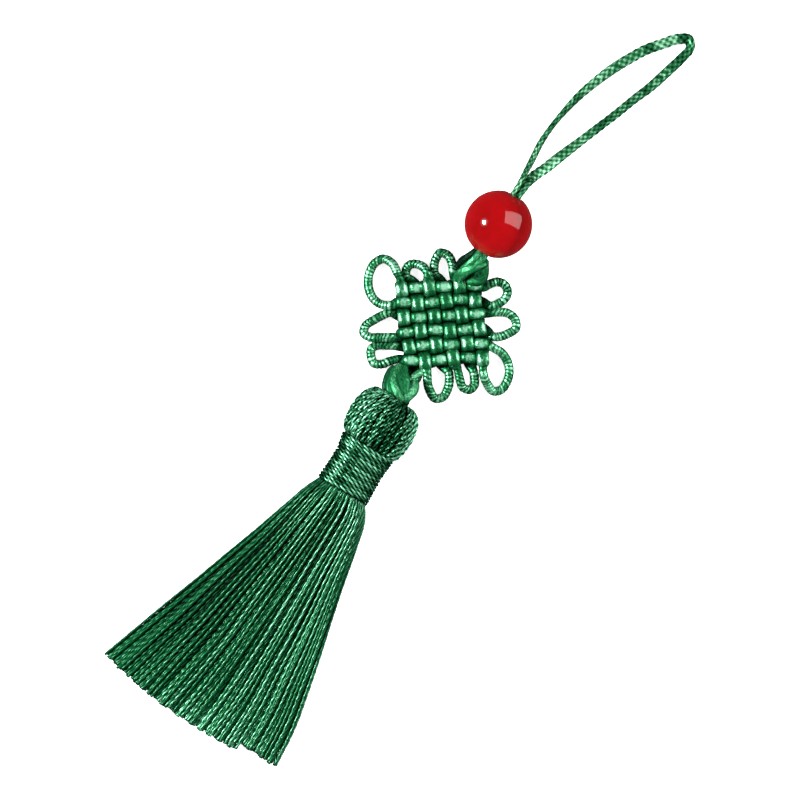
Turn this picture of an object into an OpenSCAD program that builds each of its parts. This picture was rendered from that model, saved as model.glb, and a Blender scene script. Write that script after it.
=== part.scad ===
// Knotted cord pendant: a hanging loop, a round bead, a woven ten-eared knot and a tassel.
// It lies face up. +Y runs along the pendant towards the loop, +X to the right, +Z up.

/* [Cord] */
// Thickness of the satin cord in the ears
cord_d = 1.4; // [1.2:0.05:1.5]
// Width of the same cord where it is pulled flat in the weave
weave_w = 1.6; // [1.2:0.05:1.65]
// Thickness of the same cord where it is pulled flat in the weave
weave_t = 0.9; // [0.8:0.05:0.95]

/* [Woven knot] */
// Distance between neighbouring strands
pitch = 2.15; // [2.1:0.01:2.4]
// Direction of the rows, from +X
row_angle = 40.8; // [38:0.1:44]
// Direction of the columns, from +X
col_angle = 135.2; // [130:0.1:138]
// Height of a strand above or below the middle of the weave where it crosses another
rise = 0.9; // [0.85:0.01:1]
// How far a strand that ends under its neighbour is pushed aside there
push = 0.1; // [0:0.05:0.2]

/* [Bead] */
// Diameter of the bead
bead_d = 10; // [8:0.5:12]
// Diameter of the hole through the bead
bore_d = 3; // [2.8:0.1:3.6]
// Direction of the hole, from +Y towards -X
bore_turn = 7.5; // [0:0.5:15]
// How much the hole climbs towards the loop
bore_climb = 5; // [0:0.5:8]

/* [Hanging loop] */
// Width of the flat braided cord
loop_w = 1.7; // [1.5:0.1:2]
// Thickness of the flat braided cord
loop_t = 0.9; // [0.7:0.1:1]

/* [Tassel] */
// Number of locks of thread around the tassel
locks = 22; // [16:2:26]
// Depth of the grooves between the locks
groove = 0.35; // [0:0.05:0.5]
// Thickness of the thread that binds the neck
binding_t = 0.7; // [0.5:0.05:0.9]
// How much further the middle of the hem reaches than its corners
hem_bow = 1.7; // [0:0.1:3]
// How much shorter the locks at the right end of the hem are
hem_step = 1.3; // [0:0.1:2]
// How much the lengths of the locks differ
hem_ragged = 0.6; // [0:0.1:1]

/* [Hidden] */

green = "seagreen";
dark_green = "darkgreen";
red = "firebrick";

// Middle of the woven knot, measured from the middle of the whole pendant
knot_at = [-3.49, 24.1, 0];
// Clearance between the tassel's neck and the thread bound round it
gap = 0.15;
// Rows, and as many columns, in the weave
strands = 6;
tube_sides = 8;
lump_sides = 20;
// Points across one lock of the tassel
lock_points = 4;
// Distance between the rings of a woven strand
ring_step = 0.95;
weave_mid = rise + weave_t / 2;
// Clearance under the lowest strands
lift = 0.1;

// The bead rests on the surface
bead_at = [-2.4, 16.5, bead_d / 2];

// Ears, in the weave's own directions: along the rows, along the columns, height.
// Each side ear starts at a low foot, under the weave's edge, and ends at a high one.
ear_top_left = [
    [-3.8, 6.4, 0.65], [-4.3, 7.2, 0.75], [-4.1, 8.2, 0.9], [-3.4, 8.9, 1.1], [-2.5, 8.9, 1.3],
    [-1.7, 8.3, 1.6], [-1.2, 7.3, 1.9]];
ear_top_right = [
    [0.6, 6.4, 0.6], [-0.1, 7.3, 0.75], [-0.2, 8.4, 0.9], [0.1, 9.5, 1.1], [0.9, 10.4, 1.2],
    [2.0, 10.0, 1.3], [2.6, 8.9, 1.5], [2.6, 7.6, 1.8], [2.7, 6.5, 2.1]];
ear_right_upper = [
    [6.4, 2.8, 0.6], [7.3, 2.2, 0.75], [8.5, 2.5, 0.9], [9.6, 3.1, 1.0], [10.2, 4.1, 1.2],
    [9.9, 5.2, 1.4], [9.0, 5.7, 1.6], [7.8, 5.5, 1.9], [6.6, 5.1, 2.2]];
ear_right_lower = [
    [6.5, -1.7, 0.55], [7.3, -2.3, 0.75], [8.5, -2.4, 0.85], [9.7, -2.0, 0.95],
    [10.8, -1.1, 1.05], [10.8, 0.2, 1.2], [9.8, 1.1, 1.4], [8.3, 1.2, 1.7], [6.8, 1.0, 2.1]];
ear_left_upper = [
    [-6.4, 1.5, 0.65], [-7.3, 1.8, 0.75], [-8.6, 1.6, 0.8], [-10.0, 1.1, 0.9],
    [-11.3, 0.2, 1.0], [-11.6, -0.8, 1.2], [-10.9, -1.7, 1.6], [-9.4, -1.7, 1.9],
    [-7.9, -1.6, 2.0], [-6.6, -1.5, 2.1]];
ear_left_lower = [
    [-6.4, -2.9, 0.65], [-7.4, -2.8, 0.75], [-8.6, -2.8, 0.75], [-9.8, -2.9, 0.75],
    [-10.8, -3.4, 0.85], [-11.0, -4.4, 1.1], [-10.6, -5.4, 1.3], [-9.6, -5.6, 1.5],
    [-8.2, -5.3, 1.8], [-6.8, -5.1, 2.1]];
ear_bottom_left = [
    [-0.6, -6.4, 0.6], [-0.1, -7.3, 0.75], [-0.1, -8.5, 0.85], [-0.4, -9.7, 0.95],
    [-1.2, -11.0, 1.1], [-2.3, -11.2, 1.2], [-3.0, -10.2, 1.4], [-3.2, -8.8, 1.7],
    [-3.1, -7.4, 2.0]];
ear_bottom_right = [
    [3.6, -6.4, 0.65], [3.9, -7.3, 0.75], [3.9, -8.3, 0.75], [3.6, -9.4, 0.9],
    [2.7, -10.0, 1.2], [1.9, -9.5, 1.4], [1.6, -8.2, 1.7], [1.4, -6.9, 2.1]];
// The two long corner ears run between two high feet
ear_corner_left = [
    [-5.3, 6.7, 2.2], [-5.6, 7.9, 1.8], [-6.3, 9.2, 1.3], [-7.5, 9.9, 0.9], [-8.8, 9.5, 0.8],
    [-9.7, 8.2, 0.8], [-10.1, 6.6, 0.8], [-10.0, 5.1, 0.9], [-9.3, 3.9, 1.1], [-8.2, 3.1, 1.5],
    [-7.0, 2.9, 1.9]];
ear_corner_right = [
    [5.3, -6.7, 2.2], [5.2, -8.0, 1.9], [5.5, -9.4, 1.3], [6.4, -10.5, 0.9], [7.6, -10.3, 0.8],
    [8.4, -9.3, 0.8], [8.9, -7.8, 0.8], [8.8, -6.3, 0.9], [8.2, -4.9, 1.2], [7.0, -3.8, 1.8]];
// Where a cord comes down from the upper knot, and where one leaves for the lower knot
end_upper = [[4.3, 7.3, 1.1], [4.7, 6.6, 0.6]];
end_lower = [[-5.1, -8.3, 1.8], [-4.5, -7.9, 1.2], [-4.4, -7.2, 0.7], [-4.8, -6.5, 0.6]];
// Where the last row of each cord is tucked away under the weave
tuck_left = [[-6.1, 5.4, 0.65]];
tuck_right = [[6.1, -5.4, 0.65]];

// Route of the hanging loop from the middle of the knot: x, y, z, turn about its own length.
// At turn 0 the flat cord lies flat; at 90 it stands on its edge.
loop_route = [
    [-3.4, 20.2, 5.3, 90], [-3.6, 21.5, 5.4, 90], [-3.6, 23.0, 5.0, 85], [-3.9, 25.0, 3.8, 75],
    [-4.4, 27.5, 2.2, 68], [-4.9, 30.0, 1.2, 75], [-5.1, 33.0, 0.9, 90], [-5.0, 36.0, 0.9, 75],
    [-4.7, 39.0, 0.8, 55], [-4.1, 42.0, 0.7, 40], [-3.3, 45.0, 0.6, 25], [-2.2, 48.0, 0.5, 10],
    [-1.1, 50.5, 0.5, 0], [0.3, 52.7, 0.5, 0], [1.7, 54.7, 0.6, 20], [2.9, 55.5, 0.8, 60],
    [3.9, 54.8, 0.9, 90], [3.8, 52.7, 0.9, 80], [3.4, 50.0, 0.9, 65], [2.8, 46.5, 0.8, 60],
    [2.0, 43.5, 0.8, 60], [1.2, 40.0, 0.8, 60], [0.4, 37.0, 0.9, 65], [-0.5, 33.5, 0.8, 55],
    [-1.3, 30.5, 1.1, 30], [-2.0, 27.5, 2.1, 10], [-2.4, 25.0, 3.7, 20], [-2.4, 23.0, 4.9, 70],
    [-2.5, 21.5, 5.4, 90], [-2.3, 20.3, 5.3, 90]];

// Sections of the soft lumps, each from the loop's end down to the hem's:
// left edge x, y, right edge x, y, height, half thickness, flatness
upper_knot_rows = [
    [-3.9, 19.8, -1.8, 20.0, 5.3, 0.9, 0], [-2.9, 12.1, -0.7, 12.2, 4.6, 0.8, 0],
    [-2.9, 11.3, -0.5, 11.2, 4.3, 1.3, 0], [-3.1, 10.7, 0.3, 10.7, 3.9, 1.7, 0],
    [-3.5, 9.8, 1.1, 10.0, 3.5, 1.9, 0], [-3.5, 8.7, 1.2, 9.4, 3.1, 1.7, 0],
    [-2.9, 7.6, 0.7, 8.7, 2.9, 1.2, 0], [-2.0, 7.0, -0.1, 8.1, 2.8, 0.6, 0]];
lower_knot_rows = [
    [-1.4, -9.1, 1.2, -9.4, 2.2, 0.6, 0], [-1.8, -9.7, 2.8, -9.7, 2.4, 1.3, 0],
    [-1.8, -10.7, 3.1, -10.5, 2.7, 1.7, 0], [-1.4, -11.8, 3.2, -11.5, 3.1, 1.8, 0],
    [-0.7, -12.9, 3.1, -12.6, 3.5, 1.5, 0], [0.4, -13.7, 2.5, -13.5, 3.8, 0.8, 0]];
tassel_head_rows = [
    [0.9, -14.4, 2.5, -14.2, 3.8, 0.8, 0], [0.0, -14.1, 3.6, -13.8, 3.8, 1.6, 0],
    [-1.1, -13.3, 4.8, -12.9, 3.9, 2.4, 0], [-2.1, -13.5, 5.8, -13.2, 4.0, 3.1, 0],
    [-2.9, -14.6, 6.8, -14.3, 4.1, 3.8, 0], [-3.3, -16.4, 7.4, -16.1, 4.2, 4.1, 0],
    [-3.0, -18.9, 7.6, -18.4, 4.1, 4.0, 0], [-2.3, -20.7, 7.2, -20.2, 3.9, 3.6, 0]];
binding_rows = [
    [-1.7, -21.6, 6.9, -20.9, 3.8, 3.5, 0], [-1.0, -25.3, 7.3, -24.6, 3.6, 3.3, 0],
    [-0.6, -29.0, 7.9, -28.0, 3.4, 3.2, 0]];
skirt_rows = [
    [-1.0, -30.9, 9.0, -29.8, 3.2, 3.1, 0.1], [-2.0, -35.3, 10.8, -34.2, 2.7, 2.65, 0.3],
    [-3.1, -40.8, 12.6, -39.4, 2.3, 2.25, 0.5], [-4.3, -46.0, 14.5, -44.6, 2.1, 2.05, 0.6],
    [-5.6, -51.8, 16.5, -50.0, 1.9, 1.85, 0.7], [-6.8, -57.0, 18.4, -55.4, 1.8, 1.75, 0.8],
    [-8.0, -62.4, 20.0, -60.3, 1.7, 1.65, 0.8], [-9.5, -69.1, 21.4, -66.7, 1.6, 1.55, 0.8]];

function unit(v) = v / norm(v);

// Point at t between b and c on the smooth curve through a, b, c and d
function between(a, b, c, d, t) =
    0.5 * (2 * b + (c - a) * t + (2 * a - 5 * b + 4 * c - d) * t * t
           + (3 * b - a - 3 * c + d) * t * t * t);

// Smooth curve through the rows of p, with a ring about every step
function smooth(p, step, closed = false) =
    let (m = len(p), last = closed ? m - 1 : m - 2)
    concat(
        [for (i = [0:last])
            let (a = p[closed ? (i + m - 1) % m : max(i - 1, 0)], b = p[i], c = p[(i + 1) % m],
                 d = p[closed ? (i + 2) % m : min(i + 2, m - 1)],
                 span = norm([c[0] - b[0], c[1] - b[1], c[2] - b[2]]), n = ceil(span / step))
            for (j = [0:n - 1]) between(a, b, c, d, j / n)],
        closed ? [] : [p[m - 1]]);

// Rings around a route whose rows are x, y, z, width, thickness, turn
function tube_rings(route, closed = false) =
    let (m = len(route))
    [for (i = [0:m - 1])
        let (before = route[closed ? (i + m - 1) % m : max(i - 1, 0)],
             after = route[closed ? (i + 1) % m : min(i + 1, m - 1)],
             along = unit([for (k = [0:2]) after[k] - before[k]]),
             level = unit(cross([0, 0, 1], along)), up = cross(along, level),
             wide = level * cos(route[i][5]) + up * sin(route[i][5]),
             thick = up * cos(route[i][5]) - level * sin(route[i][5]))
        [for (k = [0:tube_sides - 1])
            let (a = 360 * (k + 0.5) / tube_sides)
            [route[i][0], route[i][1], route[i][2]]
            + wide * cos(a) * route[i][3] / 2 + thick * sin(a) * route[i][4] / 2]];

// Ring of a soft lump across its left and right edges, count points, grooved by depth
function lump_ring(row, count, inset = 0, depth = 0, drop = []) =
    let (left = [row[0], row[1]], right = [row[2], row[3]], half = norm(right - left) / 2 - inset,
         tall = row[5] - inset, side = unit(right - left), down = [side[1], -side[0]],
         mid = (left + right) / 2, flat = row[6], bulge = 2 + flat)
    [for (k = [0:count - 1])
        let (a = 360 * k / count, ramp = a <= 180 ? 1 - a / 90 : a / 90 - 3,
             x = cos(a) * (1 - flat) + ramp * flat,
             z = sign(sin(a)) * pow(max(0, 1 - pow(abs(x), bulge)), 1 / bulge),
             out = unit([x / half, z / tall]),
             cut = depth * (1 - abs(sin(locks * a / 2))),
             p = mid + side * (x * half - cut * out[0]) + down * (len(drop) > 0 ? drop[k] : 0))
        [p[0], p[1], row[4] + z * tall - cut * out[1]]];

function middle(ring) = [for (k = [0:2]) sum(ring, k) / len(ring)];
function sum(ring, k, i = 0) = i == len(ring) ? 0 : ring[i][k] + sum(ring, k, i + 1);

// One closed skin over a list of rings of equal length
module skin(rings, closed = false) {
    m = len(rings);
    n = len(rings[0]);
    points = concat([for (r = rings) each r], [middle(rings[0]), middle(rings[m - 1])]);
    sides = [for (i = [0:closed ? m - 1 : m - 2], k = [0:n - 1])
        let (a = i * n, b = ((i + 1) % m) * n, next = (k + 1) % n)
        each [[a + k, b + k, b + next], [a + k, b + next, a + next]]];
    ends = closed ? [] : [for (k = [0:n - 1])
        let (next = (k + 1) % n, z = (m - 1) * n)
        each [[m * n, k, next], [m * n + 1, z + next, z + k]]];
    polyhedron(points, concat(sides, ends));
}

// Place in the weave: u along the rows, v along the columns
function weave(p) = [
    p[0] * cos(row_angle) + p[1] * cos(col_angle), p[0] * sin(row_angle) + p[1] * sin(col_angle),
    p[2] + lift];
function strand_at(i) = (i - (strands + 1) / 2) * pitch;
// Height of a row where it crosses a column; the column goes the other way
function row_height(row, col) = weave_mid + ((row + col) % 2 == 0 ? -rise : rise);
function col_height(row, col) = 2 * weave_mid - row_height(row, col);

// Crossings of one row from column 6 to column 1, its low ends pushed aside
function row_pass(row) = [for (col = [strands:-1:1])
    let (low = (row + col) % 2 == 0, aside = col == 1 ? push : col == strands ? -push : 0)
    [strand_at(col), -strand_at(row) + (low ? aside : 0), row_height(row, col)]];
// Crossings of one column from row 1 to row 6
function col_pass(col) = [for (row = [1:strands])
    let (low = (row + col) % 2 != 0, aside = row == 1 ? -push : row == strands ? push : 0)
    [strand_at(col) + (low ? aside : 0), -strand_at(row), col_height(row, col)]];
function reverse(p) = [for (i = [len(p) - 1:-1:0]) p[i]];

// A strand through points given in the weave's directions
module strand(points, closed = false) {
    edge = strand_at(strands) + pitch / 2;
    route = [for (p = points)
        let (reach = max(abs(p[0]), abs(p[1])), foot = (weave_t + cord_d) / 2)
        concat(weave(p), reach < edge ? [weave_w, weave_t, 0]
               : reach < edge + pitch / 2 ? [cord_d, foot, 0] : [cord_d, cord_d, 0])];
    translate(knot_at) skin(tube_rings(smooth(route, ring_step, closed), closed), closed);
}

module hanging_loop() {
    color(green) translate(knot_at)
        skin(tube_rings(smooth([for (p = loop_route) [p[0], p[1], p[2], loop_w, loop_t, p[3]]],
                               ring_step + 0.3)));
}

module bead() {
    color(red) translate(knot_at + bead_at)
        rotate([0, 0, bore_turn]) rotate([bore_climb - 90, 0, 0])
            difference() {
                sphere(d = bead_d, $fn = 96);
                cylinder(d = bore_d, h = bead_d + 2, center = true, $fn = 48);
            }
}

module upper_knot() {
    color(green) translate(knot_at) skin([for (r = upper_knot_rows) lump_ring(r, lump_sides)]);
}

module knot_cord_a() {
    color(green) strand(concat(end_upper, col_pass(6), ear_corner_right, row_pass(5),
                               ear_left_lower, reverse(row_pass(6)), tuck_right));
}

module knot_cord_b() {
    color(green) strand(concat(end_lower, reverse(col_pass(1)), ear_corner_left,
                               reverse(row_pass(2)), ear_right_upper, row_pass(1), tuck_left));
}

module row_ring() {
    color(green) strand(concat(row_pass(3), ear_left_upper, reverse(row_pass(4)),
                               ear_right_lower), true);
}

module left_column_ring() {
    color(green) strand(concat(col_pass(3), ear_bottom_left, reverse(col_pass(2)),
                               ear_top_left), true);
}

module right_column_ring() {
    color(green) strand(concat(col_pass(5), ear_bottom_right, reverse(col_pass(4)),
                               ear_top_right), true);
}

module lower_knot() {
    color(green) translate(knot_at) skin([for (r = lower_knot_rows) lump_ring(r, lump_sides)]);
}

module tassel() {
    count = locks * lock_points;
    lengths = rands(-hem_ragged, 0, locks, 7);
    hem = [for (k = [0:count - 1])
        let (a = 360 * k / count, x = a <= 180 ? 1 - a / 90 : a / 90 - 3)
        hem_bow * (1 - x * x) - (x > 0.55 ? hem_step * (1 - x) * 2 : 0)
        + lengths[floor(k / lock_points)]];
    under = binding_t + gap;
    color(dark_green) translate(knot_at) skin(concat(
        [for (r = tassel_head_rows) lump_ring(r, count, 0, groove)],
        [for (r = binding_rows) lump_ring(r, count, under)],
        [for (i = [0:len(skirt_rows) - 1])
            lump_ring(skirt_rows[i], count, 0, groove, i == len(skirt_rows) - 1 ? hem : [])]));
}

module neck_binding() {
    count = 40;
    edge = binding_t / 2;
    fine = smooth(binding_rows, 2.5);
    outside = [for (i = [0:len(fine) - 1])
        lump_ring(fine[i], count, i == 0 || i == len(fine) - 1 ? edge : 0)];
    inside = reverse([for (r = binding_rows) lump_ring(r, count, binding_t)]);
    color(dark_green) translate(knot_at) skin(concat(outside, inside), true);
}

hanging_loop();
bead();
upper_knot();
knot_cord_a();
knot_cord_b();
row_ring();
left_column_ring();
right_column_ring();
lower_knot();
tassel();
neck_binding();
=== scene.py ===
"""Looks of a knotted cord pendant: satin knot, round bead, flat braided loop and twisted-thread tassel.

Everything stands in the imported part's own frame: +Y runs along the pendant to the loop, +X to the
right and +Z up from the surface that it lies on. Tables are in millimetres and meshes in metres.
"""

import logging
import math
from dataclasses import dataclass, replace
from enum import Enum
from typing import ClassVar

import bmesh
import bpy
import numpy as np
from mathutils import Matrix, Vector

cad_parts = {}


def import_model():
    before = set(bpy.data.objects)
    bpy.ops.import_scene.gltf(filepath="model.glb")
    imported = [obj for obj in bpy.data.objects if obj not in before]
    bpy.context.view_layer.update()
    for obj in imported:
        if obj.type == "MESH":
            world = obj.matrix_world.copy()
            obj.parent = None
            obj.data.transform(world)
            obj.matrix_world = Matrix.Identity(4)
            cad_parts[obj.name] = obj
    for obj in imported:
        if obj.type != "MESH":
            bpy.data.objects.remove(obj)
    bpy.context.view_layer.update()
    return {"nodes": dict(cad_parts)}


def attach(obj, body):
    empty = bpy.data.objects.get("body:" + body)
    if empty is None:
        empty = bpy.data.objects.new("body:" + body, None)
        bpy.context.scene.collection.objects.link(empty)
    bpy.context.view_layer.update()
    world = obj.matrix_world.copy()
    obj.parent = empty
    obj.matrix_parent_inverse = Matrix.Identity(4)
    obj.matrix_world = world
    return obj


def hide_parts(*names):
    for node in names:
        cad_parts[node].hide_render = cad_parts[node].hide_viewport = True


LOG = logging.getLogger("pendant")
MM = 0.001
BODY = "root"
UP = np.array([0.0, 0.0, 1.0])
# Middle of the woven knot in the part's frame, where the tables of the cords and knots start from
KNOT_AT = np.array([-3.49, 24.1, 0.0])
BEAD_AT = (-5.89, 40.6, 5.0)
IMAGE_TURN = 38.0
# Samples of a smooth curve between two rows of its table
CURVE_SAMPLES = 12

Point = tuple[float, float, float]
Route = list[list[float]]


# Shared helpers


def linear(code: str) -> tuple[float, float, float, float]:
    """Turns an sRGB hex colour to linear light.

    Args:
        code: Six hex digits after a hash sign.

    Returns:
        Red, green, blue and an alpha of 1, as Blender's sockets take them.
    """
    parts = [int(code[k : k + 2], 16) / 255 for k in (1, 3, 5)]
    light = [c / 12.92 if c <= 0.04045 else ((c + 0.055) / 1.055) ** 2.4 for c in parts]
    return (light[0], light[1], light[2], 1.0)


def add(tree: bpy.types.NodeTree, kind: str, settings: dict | None = None,
        links: dict | None = None) -> bpy.types.Node:
    """Adds a node with its settings and its incoming links.

    Args:
        tree: Node tree that takes the node.
        kind: Blender's name of the node type.
        settings: Values by property name, socket name or socket number.
        links: Output sockets by the name or number of the input that they feed.

    Returns:
        The new node.
    """
    node = tree.nodes.new(kind)
    for key, value in (settings or {}).items():
        if isinstance(key, str) and hasattr(node, key):
            setattr(node, key, value)
        else:
            node.inputs[key].default_value = value
    for key, source in (links or {}).items():
        tree.links.new(source, node.inputs[key])
    return node


def blank(name: str) -> bpy.types.Material:
    """Starts a material whose node tree is still empty.

    Args:
        name: Name of the material.

    Returns:
        The material.
    """
    made = bpy.data.materials.new(name)
    made.use_nodes = True
    made.node_tree.nodes.clear()
    return made


def put(name: str, data: bpy.types.ID) -> bpy.types.Object:
    """Adds an object to the scene.

    Args:
        name: Name of the object.
        data: Mesh, lamp or camera that it shows.

    Returns:
        The object.
    """
    made = bpy.data.objects.new(name, data)
    bpy.context.scene.collection.objects.link(made)
    return made


def unit(v: np.ndarray) -> np.ndarray:
    """Scales the last axis of an array of vectors to length 1."""
    return v / np.maximum(np.linalg.norm(v, axis=-1, keepdims=True), 1e-9)


def smooth_rows(rows: Route | np.ndarray, step: float = 0.0, places: int = 0,
                closed: bool = False) -> np.ndarray:
    """Runs a smooth curve through table rows and samples it at even distances.

    Args:
        rows: Rows of x, y, z and any further columns, which are carried along.
        step: Distance between the samples, unless places is given.
        places: Number of samples, from which the step follows.
        closed: True where the curve returns to its first row.

    Returns:
        One row a sample, with the distance along the curve as an added last column.
    """
    table = np.asarray(rows, float)
    ahead = np.roll(table, -1, axis=0)
    gap = np.maximum(np.linalg.norm((ahead - table)[:, :3], axis=1), 1e-6)[:, None]
    slope = (ahead - table) / gap
    before = np.roll(gap, 1, axis=0)
    lean = (np.roll(slope, 1, axis=0) * gap + slope * before) / (before + gap)
    if not closed:
        lean[0], lean[-1] = slope[0], slope[-2]
    t = np.linspace(0, 1, CURVE_SAMPLES, endpoint=False)[None, :, None]
    dense = ((1 + 2 * t) * (1 - t) ** 2 * table[:, None] + t**2 * (3 - 2 * t) * ahead[:, None]
             + t * (1 - t) ** 2 * (lean * gap)[:, None]
             - t**2 * (1 - t) * (np.roll(lean, -1, axis=0) * gap)[:, None])
    dense = dense[: None if closed else -1].reshape(-1, table.shape[1])
    dense = np.vstack([dense, table[:1] if closed else table[-1:]])
    reach = np.append(0, np.cumsum(np.linalg.norm(np.diff(dense[:, :3], axis=0), axis=1)))
    spans = places - 1 + closed if places else max(2, round(reach[-1] / step))
    at = np.linspace(0, reach[-1], spans + 1)[: spans if closed else None]
    even = [np.interp(at, reach, dense[:, k]) for k in range(dense.shape[1])]
    return np.column_stack([*even, at])


def tube_rings(path: np.ndarray, outline: np.ndarray, turn: np.ndarray | float = 0.0,
               across: np.ndarray | None = None, closed: bool = False) -> np.ndarray:
    """Carries an outline along a path.

    Args:
        path: Points of the path, one a ring.
        outline: Points of the outline as width and height, for all rings or one set a ring.
        turn: Turn of each ring about the path, in radians.
        across: Direction that the outline's width follows, level where it is left out.
        closed: True where the path returns to its first point.

    Returns:
        Points by ring and side.
    """
    if closed:
        along = unit(np.roll(path, -1, axis=0) - np.roll(path, 1, axis=0))
    else:
        along = unit(np.gradient(path, axis=0))
    hint = np.cross(UP, along) if across is None else across
    level = unit(hint - along * np.sum(hint * along, axis=1, keepdims=True))
    rise = np.cross(along, level)
    angle = np.broadcast_to(turn, (len(path),))[:, None]
    wide = level * np.cos(angle) + rise * np.sin(angle)
    high = rise * np.cos(angle) - level * np.sin(angle)
    shape = np.broadcast_to(outline, (len(path), *outline.shape[-2:]))
    return path[:, None] + wide[:, None] * shape[..., :1] + high[:, None] * shape[..., 1:2]


def circle(sides: int) -> np.ndarray:
    """Angles of the sides round a tube, in radians."""
    return 2 * math.pi * np.arange(sides) / sides


def squared(wave: np.ndarray, power: np.ndarray | float) -> np.ndarray:
    """Draws a sine or cosine out towards a square corner, the more the smaller the power is."""
    return np.sign(wave) * np.abs(wave) ** power


def straightened(section: np.ndarray, reach: np.ndarray) -> np.ndarray:
    """Places a tube's surface as it was while the tube was straight.

    Args:
        section: Points of the outline as width and height, for all rings or one set a ring.
        reach: Distance along the tube, one a ring.

    Returns:
        Points by ring and side.
    """
    shape = (len(reach), section.shape[-2])
    return np.concatenate([np.broadcast_to(section, (*shape, 2)),
                           np.broadcast_to(reach[:, None, None], (*shape, 1))], axis=-1)


def noise_along(rng: np.random.Generator, count: int, waves: float) -> np.ndarray:
    """Smooth seeded noise along a thread, between about -1 and 1.

    Args:
        rng: Seeded random source.
        count: Number of samples.
        waves: Rough number of swings over the whole length.

    Returns:
        One value a sample.
    """
    t = np.linspace(0, 1, count)
    total = np.zeros(count)
    for share, more in ((0.6, 1.0), (0.4, 2.3)):
        phase = rng.uniform(0, 2 * math.pi)
        rate = waves * more * rng.uniform(0.7, 1.3)
        total += share * np.sin(phase + 2 * math.pi * rate * t)
    return total


def painted_light(x: np.ndarray | float, bands: tuple[Point, ...]) -> np.ndarray | float:
    """Painted light and shade across a round form, as soft bands along it.

    Args:
        x: Places across the form, from -1 at its left edge to 1 at its right edge.
        bands: Place, breadth and strength of each band; a band of painted shade has a negative
            strength.

    Returns:
        Painted extra lightness at each place.
    """
    return sum(strength * np.exp(-((x - at) / breadth) ** 2) for at, breadth, strength in bands)


@dataclass
class TubePattern:
    """A sheet of quads rolled into a closed tube once and then reused for tubes of that many rings."""

    rings: int
    sides: int
    closed: bool

    def __post_init__(self) -> None:
        """Rolls the sheet, welds its seam and closes its ends."""
        spans = self.rings if self.closed else self.rings - 1
        bm = bmesh.new()
        bmesh.ops.create_grid(bm, x_segments=self.sides, y_segments=spans, size=0.5)
        ring_layer = bm.verts.layers.int.new("ring")
        side_layer = bm.verts.layers.int.new("side")
        low = min(v.co.x for v in bm.verts)
        size = max(v.co.x for v in bm.verts) - low
        for v in bm.verts:
            side = round((v.co.x - low) / size * self.sides) % self.sides
            ring = round((v.co.y - low) / size * spans)
            v[side_layer] = side
            v[ring_layer] = ring % self.rings
            a = 2 * math.pi * side / self.sides
            if self.closed:
                b = 2 * math.pi * (ring % self.rings) / self.rings
                reach = self.rings + math.cos(a)
                v.co = (reach * math.cos(b), reach * math.sin(b), -math.sin(a))
            else:
                v.co = (math.cos(a), math.sin(a), ring)
        bmesh.ops.remove_doubles(bm, verts=bm.verts, dist=1e-3)
        rims = [e for e in bm.edges if e.is_boundary]
        if rims:
            bmesh.ops.holes_fill(bm, edges=rims, sides=0)
        bmesh.ops.recalc_face_normals(bm, faces=bm.faces)
        self.ring = np.array([v[ring_layer] for v in bm.verts])
        self.side = np.array([v[side_layer] for v in bm.verts])
        self.mesh = bpy.data.meshes.new("pattern")
        bm.to_mesh(self.mesh)
        bm.free()
        for name in ("ring", "side"):
            self.mesh.attributes.remove(self.mesh.attributes[name])
        self.mesh.attributes.new("rest", "FLOAT_VECTOR", "POINT")
        for name in ("crest", "tone"):
            self.mesh.attributes.new(name, "FLOAT", "POINT")


class Bundle:
    """A piece made of closed tubes, each with the notes that its finish reads.

    The notes are attributes of the surface: rest is the place on the tube while it was straight, in
    millimetres; crest runs from 0 in a groove to 1 on a ridge, and the finish paints grooves dark as
    shade and ridges lighter; tone is the tube's own lightness, with painted light and shade added in
    places.
    """

    patterns: ClassVar[dict[tuple[int, int, bool], TubePattern]] = {}

    def __init__(self, name: str) -> None:
        """Starts an empty piece of that name."""
        self.name = name
        self.bm = bmesh.new()

    def tube(self, rings: np.ndarray, straight: np.ndarray, crest: np.ndarray | float,
             tone: np.ndarray | float, closed: bool = False) -> None:
        """Adds one closed tube.

        Args:
            rings: Points in millimetres, by ring and side.
            straight: The same points as they were while the tube was straight.
            crest: Ridge note, by ring and side or for the whole tube.
            tone: Lightness note, by ring and side or for the whole tube.
            closed: True where the last ring meets the first.
        """
        key = (rings.shape[0], rings.shape[1], closed)
        if key not in self.patterns:
            self.patterns[key] = TubePattern(*key)
        pattern = self.patterns[key]
        pick = (pattern.ring, pattern.side)
        mesh = pattern.mesh
        mesh.vertices.foreach_set("co", (rings[pick] * MM).astype(np.float32).ravel())
        notes = mesh.attributes
        notes["rest"].data.foreach_set("vector", straight[pick].astype(np.float32).ravel())
        for name, value in (("crest", crest), ("tone", tone)):
            spread = np.broadcast_to(value, rings.shape[:2])[pick]
            notes[name].data.foreach_set("value", spread.astype(np.float32))
        self.bm.from_mesh(mesh)

    def finish(self, material: bpy.types.Material, stands_for: str) -> bpy.types.Object:
        """Makes the object, dresses it and hands it to the part's body.

        Args:
            material: Finish of the whole piece.
            stands_for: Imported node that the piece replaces.

        Returns:
            The finished object.
        """
        mesh = bpy.data.meshes.new(self.name)
        self.bm.to_mesh(mesh)
        self.bm.free()
        mesh.shade_smooth()
        mesh.materials.append(material)
        piece = put(self.name, mesh)
        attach(piece, BODY)
        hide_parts(stands_for)
        count = sum(len(p.vertices) - 2 for p in mesh.polygons)
        LOG.info("%s: %d triangles, finish %s", self.name, count, material.name)
        return piece


# Finishes


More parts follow.
